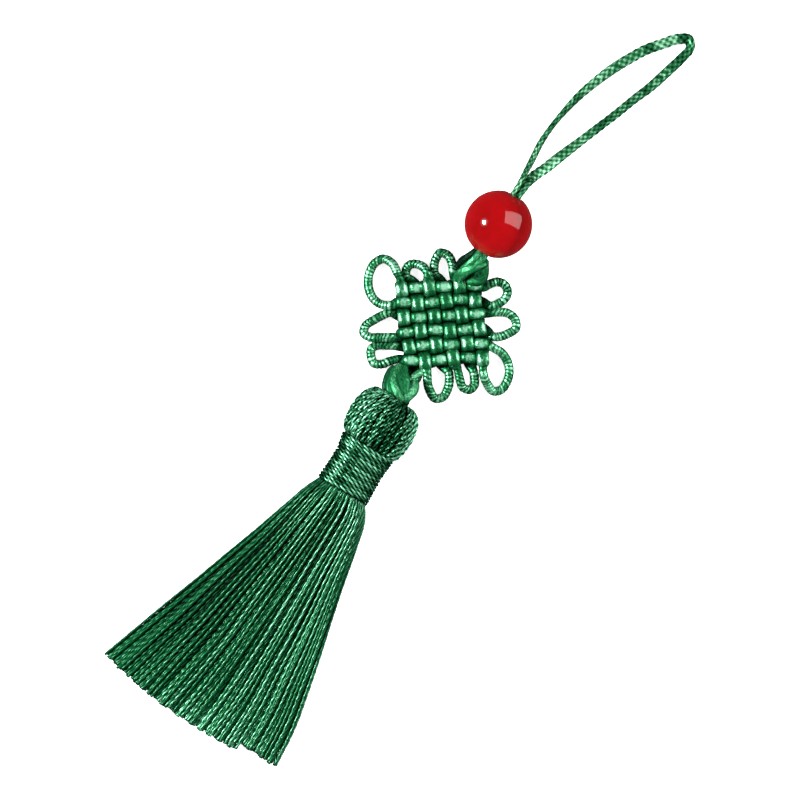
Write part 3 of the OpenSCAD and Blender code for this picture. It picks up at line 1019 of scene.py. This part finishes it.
    def build(self) -> None:
        """Makes the two cords and the three rings of the knot."""
        row, column, ear = self.row, self.column, self.ear
        satin = SATIN_CORD.material()
        strands = (
            ("satin_cord_a", "knot_cord_a", False,
             [ear("end_upper"), column(6), ear("corner_right"), row(5), ear("left_lower"),
              row(6)[::-1], ear("tuck_right")]),
            ("satin_cord_b", "knot_cord_b", False,
             [ear("end_lower"), column(1)[::-1], ear("corner_left"), row(2)[::-1],
              ear("right_upper"), row(1), ear("tuck_left")]),
            ("satin_rows", "row_ring", True,
             [row(3), ear("left_upper"), row(4)[::-1], ear("right_lower")]),
            ("satin_columns_left", "left_column_ring", True,
             [column(3), ear("bottom_left"), column(2)[::-1], ear("top_left")]),
            ("satin_columns_right", "right_column_ring", True,
             [column(5), ear("bottom_right"), column(4)[::-1], ear("top_right")]),
        )
        for name, node, closed, parts in strands:
            self.strand(name, node, closed, parts, satin)


# Soft lumps


@dataclass(frozen=True)
class Lump:
    """Soft form through sections.

    A row holds x and y of the section's left edge, x and y of its right edge, its height, its half
    thickness and how flat its top is, from 0 for a round one to 1.
    """

    rows: tuple[tuple[float, ...], ...]

    def points(self, angle: np.ndarray, inset: np.ndarray | float) -> np.ndarray:
        """Places points on the sections.

        Args:
            angle: Degrees round each section, from its right edge over the top, by tube and section.
            inset: Depth below the surface, by tube and section.

        Returns:
            Points in the part's frame, by tube and section.
        """
        table = np.array(self.rows)
        left, right = table[:, 0:2], table[:, 2:4]
        width = np.linalg.norm(right - left, axis=1)
        side = (right - left) / width[:, None]
        flat = table[:, 6]
        bulge = 2 + flat
        a = np.mod(angle, 360.0)
        ramp = np.where(a <= 180, 1 - a / 90, a / 90 - 3)
        x = np.cos(np.radians(a)) * (1 - flat) + ramp * flat
        z = np.sign(np.sin(np.radians(a))) * np.maximum(0, 1 - np.abs(x) ** bulge) ** (1 / bulge)
        flat_place = (left + right) / 2 + side * (x * (width / 2 - inset))[..., None]
        height = table[:, 4] + z * (table[:, 5] - inset)
        return np.concatenate([flat_place, height[..., None]], axis=-1) + KNOT_AT

    def down(self) -> np.ndarray:
        """Direction in which the form leaves its last section.

        Returns:
            The level direction, of length 1.
        """
        left, right = np.array(self.rows[-1][0:2]), np.array(self.rows[-1][2:4])
        side = unit(right - left)
        return np.array([side[1], -side[0], 0.0])

    def skin(self, sides: int, inset: np.ndarray | float, places: int,
             drop: np.ndarray | float = 0.0) -> np.ndarray:
        """Rounds the form off as the rings of one tube.

        Args:
            sides: Number of points round each ring.
            inset: Depth below the surface, one number or by side and section.
            places: Number of rings.
            drop: How far the last ring goes on past its section, one number or one a side.

        Returns:
            Points by ring and side.
        """
        angle = np.arange(sides) * 360.0 / sides
        body = self.points(np.repeat(angle[:, None], len(self.rows), axis=1), inset)
        body[:, -1] += self.down() * np.broadcast_to(drop, (sides,))[:, None]
        return np.stack([smooth_rows(side, places=places)[:, :3] for side in body], axis=1)


UPPER_KNOT = Lump((
    (-3.9, 19.8, -1.8, 20.0, 5.3, 0.9, 0), (-2.9, 12.1, -0.7, 12.2, 4.6, 0.8, 0),
    (-2.9, 11.3, -0.5, 11.2, 4.3, 1.3, 0), (-3.1, 10.7, 0.3, 10.7, 3.9, 1.7, 0),
    (-3.5, 9.8, 1.1, 10.0, 3.5, 1.9, 0), (-3.5, 8.7, 1.2, 9.4, 3.1, 1.7, 0),
    (-2.9, 7.6, 0.7, 8.7, 2.9, 1.2, 0), (-2.0, 7.0, -0.1, 8.1, 2.8, 0.6, 0)))
LOWER_KNOT = Lump((
    (-1.4, -9.1, 1.2, -9.4, 2.2, 0.6, 0), (-1.8, -9.7, 2.8, -9.7, 2.4, 1.3, 0),
    (-1.8, -10.7, 3.1, -10.5, 2.7, 1.7, 0), (-1.4, -11.8, 3.2, -11.5, 3.1, 1.8, 0),
    (-0.7, -12.9, 3.1, -12.6, 3.5, 1.5, 0), (0.4, -13.7, 2.5, -13.5, 3.8, 0.8, 0)))
HEAD_ROWS = (
    (0.9, -14.4, 2.5, -14.2, 3.8, 0.8, 0), (0.0, -14.1, 3.6, -13.8, 3.8, 1.6, 0),
    (-1.1, -13.3, 4.8, -12.9, 3.9, 2.4, 0), (-2.1, -13.5, 5.8, -13.2, 4.0, 3.1, 0),
    (-2.9, -14.6, 6.8, -14.3, 4.1, 3.8, 0), (-3.3, -16.4, 7.4, -16.1, 4.2, 4.1, 0),
    (-3.05, -18.9, 7.6, -18.4, 4.1, 4.0, 0), (-2.3, -20.7, 7.25, -20.2, 3.9, 3.65, 0))
BINDING_ROWS = ((-1.8, -21.5, 7.1, -20.85, 3.85, 3.6, 0), (-1.0, -24.0, 7.15, -23.2, 3.7, 3.4, 0),
                (-0.75, -26.5, 7.5, -25.6, 3.55, 3.3, 0), (-0.6, -29.0, 7.9, -28.0, 3.4, 3.2, 0))
SKIRT_ROWS = (
    (-1.0, -30.9, 9.0, -29.8, 3.2, 3.1, 0.1), (-2.0, -35.3, 10.8, -34.2, 2.7, 2.65, 0.3),
    (-3.1, -40.8, 12.6, -39.4, 2.3, 2.25, 0.5), (-4.3, -46.0, 14.5, -44.6, 2.1, 2.05, 0.6),
    (-5.6, -51.8, 16.5, -50.0, 1.9, 1.85, 0.7), (-6.8, -57.0, 18.4, -55.4, 1.8, 1.75, 0.8),
    (-8.0, -62.4, 20.0, -60.3, 1.7, 1.65, 0.8), (-9.5, -69.1, 21.4, -66.7, 1.6, 1.55, 0.8))


@dataclass
class SmallKnot:
    """Small tied knot: folds of the satin cord, drawn wide, laid over one another."""

    name: str
    node: str
    core: Lump
    # Painted light or shade, hollow and route of each fold, from the lowest to the one on top
    folds: tuple[tuple[float, float, tuple[tuple[float, ...], ...]], ...]
    core_inset: float = 0.45
    core_places: int = 24
    step: float = 0.12
    sides: int = 32
    # Length over which a fold's end is rounded off, and what is left of its width at the very end
    end_round: float = 0.5
    end_left: float = 0.08
    pleats: int = 4
    pleat_depth: float = 0.05
    square: float = 0.85
    # Place and breadth of the hollow across a fold
    hollow_at: float = 0.15
    hollow_breadth: float = 0.38
    # Painted light and shade: how much lighter a fold is on its top and darker underneath, and how much
    # darker in its hollow
    top_light: float = 0.34
    hollow_dark: float = 0.9
    # The core's two notes, which paint it dark as the shade under the folds, and how a fold's tone
    # follows its painted light or shade
    core_crest: float = 0.2
    core_tone: float = 0.05
    tone_share: float = 0.5
    tone_less: float = 0.16

    def build(self, material: bpy.types.Material) -> bpy.types.Object:
        """Makes the core and the folds over it.

        Args:
            material: Finish of the cord.

        Returns:
            The finished knot.
        """
        bundle = Bundle(self.name)
        core = self.core.skin(self.sides, self.core_inset, self.core_places)
        bundle.tube(core, core, crest=self.core_crest, tone=self.core_tone)
        for fold in self.folds:
            self.fold(bundle, *fold)
        return bundle.finish(material, self.node)

    def fold(self, bundle: Bundle, shade: float, hollow: float,
             route: tuple[tuple[float, ...], ...]) -> None:
        """Lays one fold.

        Args:
            bundle: Piece that takes the fold.
            shade: Painted light or shade of the fold.
            hollow: How deep its middle is pressed in.
            route: Rows of x, y, z from the knot's middle, width, thickness and turn.
        """
        rows = smooth_rows(np.array(route), step=self.step)
        path, reach = rows[:, :3] + KNOT_AT, rows[:, -1]
        a = circle(self.sides)[None, :]
        ends = np.clip(np.minimum(reach, reach[-1] - reach) / self.end_round, 0, 1)
        round_end = np.sqrt(1 - (1 - ends) ** 2)[:, None] * (1 - self.end_left) + self.end_left
        wander = 0.9 * np.sin(reach * 1.3)[:, None]
        sunk = np.exp(-((np.cos(a) - self.hollow_at) / self.hollow_breadth) ** 2)
        drawn = (1 + self.pleat_depth * np.cos(self.pleats * 2 * a + wander)) * (1 - hollow * sunk)
        wide, high = rows[:, 3:4] / 2, rows[:, 4:5] / 2
        outline = np.stack([np.cos(a) * wide * round_end,
                            squared(np.sin(a), self.square) * high * drawn * round_end], axis=-1)
        rings = tube_rings(path, outline, np.radians(rows[:, 5]))
        crest = shade + self.top_light * np.sin(a) - self.hollow_dark * hollow * sunk
        tone = self.tone_share * shade - self.tone_less
        bundle.tube(rings, straightened(outline, reach), crest=crest, tone=tone)


# Folds of the two small knots


# In both tables the first number of each fold is its painted light or shade, low where a fold lies in
# shade and high where it is lit
UPPER_FOLDS = (
    # Facet on the lower right
    (0.36, 0.3, ((-1.1, 7.2, 3.0, 1.4, 0.9, 0), (-0.4, 7.9, 3.6, 2.2, 1.1, 5),
                (0.15, 8.7, 4.2, 2.5, 1.2, 8), (0.0, 9.5, 4.5, 2.2, 1.2, 8),
                (-0.45, 10.5, 4.7, 1.6, 1.1, 8), (-0.9, 11.4, 4.8, 1.3, 1.0, 6))),
    # Upper left facet
    (0.0, 0.0, ((-3.0, 7.6, 3.2, 1.2, 1.0, -15), (-3.2, 8.9, 3.9, 1.4, 1.0, -15),
                (-2.9, 10.0, 4.5, 1.3, 1.0, -12), (-2.55, 11.3, 4.8, 1.2, 1.0, -8),
                (-2.4, 12.5, 4.8, 1.1, 0.9, 0))),
    # Band across the front
    (0.57, 0.1, ((-2.1, 6.1, 2.8, 1.4, 0.8, 0), (-2.25, 7.1, 3.9, 1.7, 0.9, 0),
                 (-1.95, 8.2, 4.7, 1.6, 1.0, -5), (-1.35, 9.2, 5.1, 1.3, 1.0, 0),
                 (-0.7, 10.2, 5.1, 1.0, 0.9, 5), (-0.25, 11.0, 4.8, 0.7, 0.8, 8))),
    # Two strips that go up into the bead
    (0.55, 0.0, ((-1.6, 8.5, 4.4, 0.9, 0.8, 5), (-1.2, 9.6, 5.0, 1.2, 0.9, 6),
                 (-1.15, 10.6, 5.2, 1.3, 0.9, 6), (-1.2, 11.5, 5.1, 1.2, 0.9, 6),
                 (-1.5, 12.5, 4.9, 1.1, 0.8, 0))),
    (0.58, 0.0, ((-2.6, 7.9, 4.2, 0.8, 0.8, 0), (-2.3, 8.9, 4.9, 1.0, 0.9, -3),
                 (-2.05, 10.1, 5.3, 1.1, 0.9, -3), (-2.0, 11.2, 5.35, 1.1, 0.9, -3),
                 (-2.0, 12.4, 5.1, 1.0, 0.9, 0))))
LOWER_FOLDS = (
    # Rim on the left, behind
    (0.36, 0.0, ((-1.5, -9.3, 2.0, 1.0, 1.0, -15), (-1.5, -10.4, 2.7, 1.3, 1.2, -20),
                 (-1.2, -11.5, 3.2, 1.4, 1.2, -22), (-0.6, -12.6, 3.6, 1.3, 1.1, -22),
                 (0.6, -13.3, 3.9, 1.1, 1.0, -15))),
    # Turn behind the cord that comes out of the weave
    (0.05, 0.0, ((-0.9, -9.2, 1.9, 1.0, 1.0, 0), (0.2, -8.9, 2.0, 1.1, 1.0, 0),
                 (1.2, -8.8, 2.1, 1.0, 1.0, 0))),
    # Right fold
    (0.6, 0.0, ((1.4, -9.4, 2.8, 1.2, 1.0, 8), (2.3, -9.7, 3.4, 1.6, 1.1, 8),
                (2.6, -10.5, 3.8, 1.9, 1.2, 6), (2.5, -11.6, 4.2, 1.9, 1.1, 3),
                (2.5, -12.8, 4.2, 1.5, 1.0, 0))),
    # Pressed middle
    (0.56, 0.34, ((-0.8, -8.4, 2.2, 1.7, 0.9, 0), (-0.2, -9.8, 3.4, 2.7, 1.0, 0),
                  (0.8, -10.8, 4.1, 2.7, 1.1, 0), (1.5, -11.5, 4.4, 2.2, 1.0, 0),
                  (2.3, -12.2, 4.4, 1.8, 0.9, 0))),
    # Foot over the tassel's head
    (0.1, 0.0, ((1.7, -11.4, 3.5, 1.6, 1.0, 0), (2.5, -12.5, 3.8, 2.0, 1.0, 0),
                (2.6, -13.6, 3.9, 1.9, 1.0, 0))),
    # Front below the ridge
    (0.46, 0.0, ((-1.1, -10.4, 3.3, 1.0, 0.9, -15), (-0.6, -11.6, 4.1, 1.4, 1.0, -15),
                 (0.3, -12.5, 4.5, 1.6, 1.0, -5), (1.5, -13.1, 4.5, 1.6, 0.9, 0),
                 (2.4, -13.2, 4.3, 1.2, 0.9, 0))),
    # Ridge from the weave down over the front
    (0.58, 0.0, ((-1.2, -8.7, 2.4, 0.8, 0.8, -15), (-1.15, -10.1, 3.55, 0.9, 0.9, -15),
                 (-0.5, -11.1, 4.3, 1.1, 0.9, -8), (0.45, -11.8, 4.75, 1.2, 0.9, 0),
                 (1.5, -12.4, 4.85, 1.3, 0.9, 0), (2.6, -12.7, 4.6, 1.2, 0.8, 0))),
    # Cord that comes out of the weave
    (0.66, 0.0, ((1.3, -10.0, 3.2, 0.9, 1.0, 0), (1.5, -9.1, 3.0, 1.0, 1.1, 0),
                 (1.8, -8.2, 2.6, 1.1, 1.1, 0), (2.2, -7.3, 2.0, 1.1, 1.0, 0))))


# Tassel


@dataclass
class Thread:
    """Two-ply thread: an outline of two lobes that turns as it runs."""

    ply_pitch: float = 2.3
    # How much longer the turns of loose plies are, and the thread's half width while it is straight
    loose_stretch: float = 0.2
    straight_half: float = 0.3
    # Span of the outline from the groove, painted dark as shade, up to where a ridge is painted fully
    # lit
    crest_span: float = 0.6
    # Outline at each eighth of a turn, as a share of the half width, while the plies are tight
    # and where they have come loose
    tight: tuple[float, ...] = (1.0, 0.77, 0.36, 0.77, 1.0, 0.77, 0.36, 0.77)
    loose: tuple[float, ...] = (0.95, 0.88, 0.7, 0.88, 0.95, 0.88, 0.7, 0.88)

    def lay(self, bundle: Bundle, path: np.ndarray, half: np.ndarray, across: np.ndarray,
            twist: np.ndarray, tone: np.ndarray | float, slack: np.ndarray | float = 0.0) -> None:
        """Lays one thread along a path.

        Args:
            bundle: Piece that takes the thread.
            path: Points of the path with the distance along it as fourth column.
            half: Half width of the thread at each point.
            across: Direction round the form that the thread lies on, at each point.
            twist: Extra turn of the plies at each point, in radians.
            tone: Lightness of the thread.
            slack: How far its plies have come loose at each point, from 0 to 1.
        """
        a = circle(len(self.tight))
        share = np.broadcast_to(slack, (len(path),))[:, None]
        lobes = np.array(self.tight) * (1 - share) + np.array(self.loose) * share
        ply = np.stack([np.cos(a) * lobes, np.sin(a) * lobes], axis=-1)
        reach = path[:, 3]
        pitch = self.ply_pitch * (1 + self.loose_stretch * share[:, 0])
        turn = twist + 2 * math.pi * reach / pitch
        rings = tube_rings(path[:, :3], ply * half[:, None, None], turn, across)
        crest = np.clip((lobes - min(self.tight)) / self.crest_span, 0, 1)
        bundle.tube(rings, straightened(ply * self.straight_half, reach), crest=crest, tone=tone)


class Level(Enum):
    """How a thread of the skirt lies among its neighbours.

    Each value holds how much the thread swells below the neck, how deep it lies, its lightness at the
    neck, painted low on a sunk thread as the shade among its neighbours, how strongly the painted bands
    of light and shade show on it and how much lighter its hem is.
    """

    RAISED = (0.07, 0.0, 0.16, 0.6, 0.06)
    SUNK = (0.12, 0.34, -0.54, 1.7, 0.95)


@dataclass
class Tassel:
    """Tassel: a head of folded threads, a bound neck and a skirt of loose threads."""

    thread: Thread
    seed: int = 11
    # Half width of a thread where it leaves the knot or the neck
    slim: float = 0.18
    # How much the head's threads swell, their half width at the neck, and their lightness
    head_swell: float = 0.14
    head_end: float = 0.24
    head_tone: float = 0.42
    # How much deeper every second thread of the head lies
    head_sunk: float = 0.2
    head_threads: int = 54
    head_places: int = 60
    # Depth at which the head's threads go in under the binding, and how far they stray sideways
    head_tuck: float = 0.55
    head_stray: float = 3.0
    turns: int = 15
    turn_places: int = 40
    binding_half: float = 0.29
    binding_step: float = 0.24
    binding_tone: float = 0.5
    # How unevenly the winding lies along the neck, as a share of it, and in its depth
    turn_jitter: float = 0.012
    turn_bulk: float = 0.05
    upper_threads: int = 88
    middle_threads: int = 56
    lower_threads: int = 52
    inner_ends: int = 180
    skirt_places: int = 124
    least_places: int = 12
    skirt_tuck: float = 0.5
    # Steps from one raised thread to the next
    raised_gaps: tuple[int, ...] = (1, 2, 3, 3, 4, 5)
    # Towards the hem the threads draw together in locks, this wide and by this many degrees
    lock_degrees: float = 11.0
    lock_pull: float = 1.1
    # How far the hem hangs down in its middle, the step near its right corner and its inner ends
    hem_bow: float = 1.7
    hem_step: float = 1.3
    ends_short: float = 0.3
    core_sides: int = 48
    core_places: int = 90
    # Depth of the core under the head and skirt, the binding, the skirt's last part and the hem
    core_inset: float = 0.8
    neck_inset: float = 0.45
    tail_inset: float = 0.6
    hem_inset: float = 1.2
    core_short: float = 2.4
    # Painted bands of light and shade along the head, the neck and the skirt: place across, breadth,
    # strength
    head_painted_light: tuple[Point, ...] = ((-0.65, 0.25, 0.34), (0.93, 0.09, 0.3), (0.45, 0.26, -0.26))
    neck_painted_light: tuple[Point, ...] = (
        (-1.0, 0.25, -0.5), (-0.6, 0.14, 0.5), (-0.3, 0.15, -0.3), (0.3, 0.3, 0.1),
        (1.0, 0.2, -0.35))
    skirt_painted_light: tuple[Point, ...] = ((-0.7, 0.35, -0.16), (0.85, 0.3, -0.12))

    @staticmethod
    def around(angle: np.ndarray) -> np.ndarray:
        """Direction round the tassel at an angle in degrees, from the right edge over the top."""
        a = np.radians(angle)
        return np.stack([-np.sin(a), np.zeros_like(a), np.cos(a)], axis=-1)

    @staticmethod
    def across(angle: np.ndarray | float) -> np.ndarray:
        """Place across the tassel at an angle in degrees, from 1 at the right edge to -1."""
        return np.interp(np.mod(angle, 360.0), (0, 180, 360), (1, -1, 1))

    @staticmethod
    def wander(rng: np.random.Generator, count: int, waves: float,
               uneven: float = 0.7) -> np.ndarray:
        """Uneven extra twist along a thread, in radians."""
        return rng.uniform(0, 2 * math.pi) + uneven * noise_along(rng, count, waves)

    def drop(self, angle: np.ndarray | float) -> np.ndarray:
        """How far the hem hangs below the straight line between its corners.

        Args:
            angle: Degrees round the skirt, from the right edge over the top.

        Returns:
            Distances in millimetres.
        """
        x = self.across(angle)
        return self.hem_bow * (1 - x * x) - np.where(x > 0.55, self.hem_step * (1 - x) * 2, 0.0)

    def core(self, material: bpy.types.Material) -> None:
        """Fills the tassel under its threads, so that no light comes through.

        Args:
            material: Finish of the threads.
        """
        bundle = Bundle("tassel_core")
        form = Lump(HEAD_ROWS[2:] + BINDING_ROWS + SKIRT_ROWS)
        inset = np.full((self.core_sides, len(form.rows)), self.core_inset)
        inset[:, len(HEAD_ROWS) - 2:-len(SKIRT_ROWS)] = self.neck_inset
        # The skirt's first three sections are covered as deeply as the head
        inset[:, 3 - len(SKIRT_ROWS):] = self.tail_inset
        inset[:, -1] = self.hem_inset
        # The core ends above the shortest threads near each of its sides
        angle = np.arange(self.core_sides) * 360.0 / self.core_sides
        hem = np.min([self.drop(angle + k) for k in (-12, -6, 0, 6, 12)], axis=0)
        body = form.skin(self.core_sides, inset, self.core_places, hem - self.core_short)
        # The core is painted darkest, as the shade between the threads
        bundle.tube(body, body, crest=0.0, tone=0.0)
        bundle.finish(material, "tassel")

    def head(self, material: bpy.types.Material) -> None:
        """Folds the threads over the head, from the knot down into the binding.

        Args:
            material: Finish of the threads.
        """
        rng = np.random.default_rng(self.seed)
        bundle = Bundle("tassel_head")
        form = Lump(HEAD_ROWS + BINDING_ROWS[:1])
        count, number = len(form.rows), self.head_places
        share = np.linspace(0, 1, count)
        places = np.linspace(0, 1, number)
        for k in range(self.head_threads):
            lane = (k + rng.uniform(-0.25, 0.25)) * 360.0 / self.head_threads
            angle = lane + self.head_stray * noise_along(rng, count, 0.9)
            half = self.slim + self.head_swell * np.minimum(1, share * 2.2)
            half[-1] = self.head_end
            inset = half + self.head_sunk * (k % 2) + rng.uniform(0, 0.06)
            inset[-1] += self.head_tuck
            path = smooth_rows(form.points(angle[None], inset[None])[0], places=number)
            # Painted highlights and shade in bands across the head, with a tone that differs at random
            # from thread to thread and along it
            tone = (self.head_tone + painted_light(np.cos(np.radians(lane)), self.head_painted_light)
                    + rng.uniform(-0.24, 0.24) + 0.5 * noise_along(rng, number, 22.0))
            self.thread.lay(bundle, path, np.interp(places, share, half),
                            self.around(np.interp(places, share, angle)),
                            self.wander(rng, number, 2.0, 0.8), tone[:, None])
        bundle.finish(material, "tassel")

    def binding(self, material: bpy.types.Material) -> None:
        """Winds one thread round the neck.

        Args:
            material: Finish of the threads.
        """
        rng = np.random.default_rng(self.seed + 1)
        bundle = Bundle("neck_winding")
        steps = self.turns * self.turn_places
        t = np.linspace(0, self.turns, steps)
        jitter = self.turn_jitter * noise_along(rng, steps, self.turns / 1.7)
        along = np.clip(t / self.turns + jitter * np.sin(np.pi * t / self.turns), 0, 1)
        angle = t * 360.0
        # A section of the neck at each step, and the thread's place on it
        rows = np.array(BINDING_ROWS)
        at = along * (len(rows) - 1)
        table = np.stack([np.interp(at, np.arange(len(rows)), column) for column in rows.T], axis=1)
        bulk = self.turn_bulk * noise_along(rng, steps, self.turns * 0.8)
        path = Lump(tuple(map(tuple, table))).points(angle[None], self.binding_half + bulk[None])[0]
        fine = smooth_rows(np.column_stack([path, np.cos(np.radians(angle))]),
                           step=self.binding_step)
        count = len(fine)
        hint = np.broadcast_to([0.12, -1.0, 0.0], (count, 3))
        tone = self.binding_tone + 0.4 * noise_along(rng, count, self.turns * 1.4)
        # Painted highlights and shade in bands round the neck
        tone = (tone + painted_light(fine[:, 3], self.neck_painted_light))[:, None]
        self.thread.lay(bundle, fine[:, [0, 1, 2, 4]], np.full(count, self.binding_half), hint,
                        self.wander(rng, count, self.turns, 1.0), tone)
        bundle.finish(material, "neck_binding")

    def skirt(self, name: str, lanes: np.ndarray, depth: tuple[float, float],
              material: bpy.types.Material, first: int = 0) -> None:
        """Lets a layer of loose threads hang from the neck, or lays the inner ends at the hem.

        Args:
            name: Name of the piece.
            lanes: Angle of each thread, from the right edge over the top, in degrees.
            depth: Depth of the layer below the surface at the neck and at the hem.
            material: Finish of the threads.
            first: Section where the threads start; past the neck they are inner ends.
        """
        rng = np.random.default_rng(self.seed + len(name))
        bundle = Bundle(name)
        share = np.linspace(0, 1, 1 + len(SKIRT_ROWS))[first:]
        form = Lump((BINDING_ROWS[-1:] + SKIRT_ROWS)[first:])
        number = max(self.least_places, round(self.skirt_places * (1 - share[0])))
        places = np.linspace(share[0], 1, number)
        next_raised = 1
        for k, lane in enumerate(lanes):
            raised = k == next_raised
            next_raised += raised * rng.choice(self.raised_gaps)
            level = Level.RAISED if raised else Level.SUNK
            swell, deeper = level.value[:2]
            x = float(self.across(lane))
            lock = lane / self.lock_degrees + 0.35 * math.sin(lane * 0.09)
            pull = -self.lock_pull * math.sin(2 * math.pi * lock) * share**1.5
            loose = (0.5 + 1.1 * share) * noise_along(rng, len(share), 0.7)
            angle = lane + (pull + loose) * (1.1 - abs(x))
            half = self.slim + swell * np.minimum(1, share * 1.6)
            inset = half + np.interp(share, (0, 1), depth) + deeper
            inset = inset + 0.08 * noise_along(rng, len(share), 1.2)
            if first == 0:
                inset[0] = self.skirt_tuck
            points = form.points(angle[None], np.maximum(inset, half)[None])[0]
            points[-1] += form.down() * (float(self.drop(lane)) + rng.uniform(-0.15, 0.05)
                                         + 0.1 * math.cos(2 * math.pi * lock)
                                         - self.ends_short * (first > 0))
            path = smooth_rows(points, places=number)
            tone = self.skirt_tone(x, places, level, rng.uniform(-0.2, 0.2))
            self.thread.lay(bundle, path, np.interp(places, share, half),
                            self.around(np.interp(places, share, angle)),
                            self.wander(rng, number, 4.0), tone[:, None], slack=1.0)
        bundle.finish(material, "tassel")

    def skirt_tone(self, x: float, places: np.ndarray, level: Level, chance: float) -> np.ndarray:
        """Lightness along a thread of the skirt, which grows towards the hem, with painted light and
        shade across the skirt and painted shade on sunk threads.

        Args:
            x: Place of the thread across the skirt, from -1 to 1.
            places: Shares of the skirt's length.
            level: How the thread lies among its neighbours.
            chance: The thread's own difference from the others.

        Returns:
            Lightness at each place.
        """
        at_neck, bands, at_hem = level.value[2:]
        # Painted light and shade: lighter towards the right edge, darker in the skirt's dark bands and
        # on sunk threads; lighter also near the neck
        light = float(painted_light(x, self.skirt_painted_light)) * bands
        tone = at_neck + 0.12 * x + light + chance + 0.14 * np.exp(-((places / 0.25) ** 2))
        return tone + at_hem * places**2.6

    def build(self) -> None:
        """Makes the core, the head, the binding, the layers of the skirt and its inner ends."""
        thread = PLIED_THREAD.material()
        self.core(thread)
        self.head(thread)
        self.binding(thread)
        self.skirt("skirt_upper", np.linspace(1, 179, self.upper_threads), (0.0, 0.0), thread)
        self.skirt("skirt_middle", np.linspace(5, 175, self.middle_threads), (0.35, 0.4), thread)
        self.skirt("skirt_lower", np.linspace(181, 359, self.lower_threads), (0.0, 0.05), thread)
        self.skirt("skirt_ends", np.linspace(2, 358, self.inner_ends), (0.6, 0.6), thread,
                   first=len(SKIRT_ROWS) - 1)


# Main


def main() -> None:
    """Builds the pendant piece by piece and writes down how large it is."""
    logging.basicConfig(level=logging.INFO, format="%(name)s: %(message)s")
    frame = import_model()
    Studio().build()
    HangingLoop().build()
    WovenKnot().build()
    tied = TIED_CORD.material()
    SmallKnot("upper_knot_folds", "upper_knot", UPPER_KNOT, UPPER_FOLDS).build(tied)
    SmallKnot("lower_knot_folds", "lower_knot", LOWER_KNOT, LOWER_FOLDS).build(tied)
    Tassel(Thread()).build()
    bead = frame["nodes"]["bead"]
    bead.data.materials.clear()
    bead.data.materials.append(ResinFinish().material())
    LOG.info("bead: glossy resin")


if __name__ == "__main__":
    main()
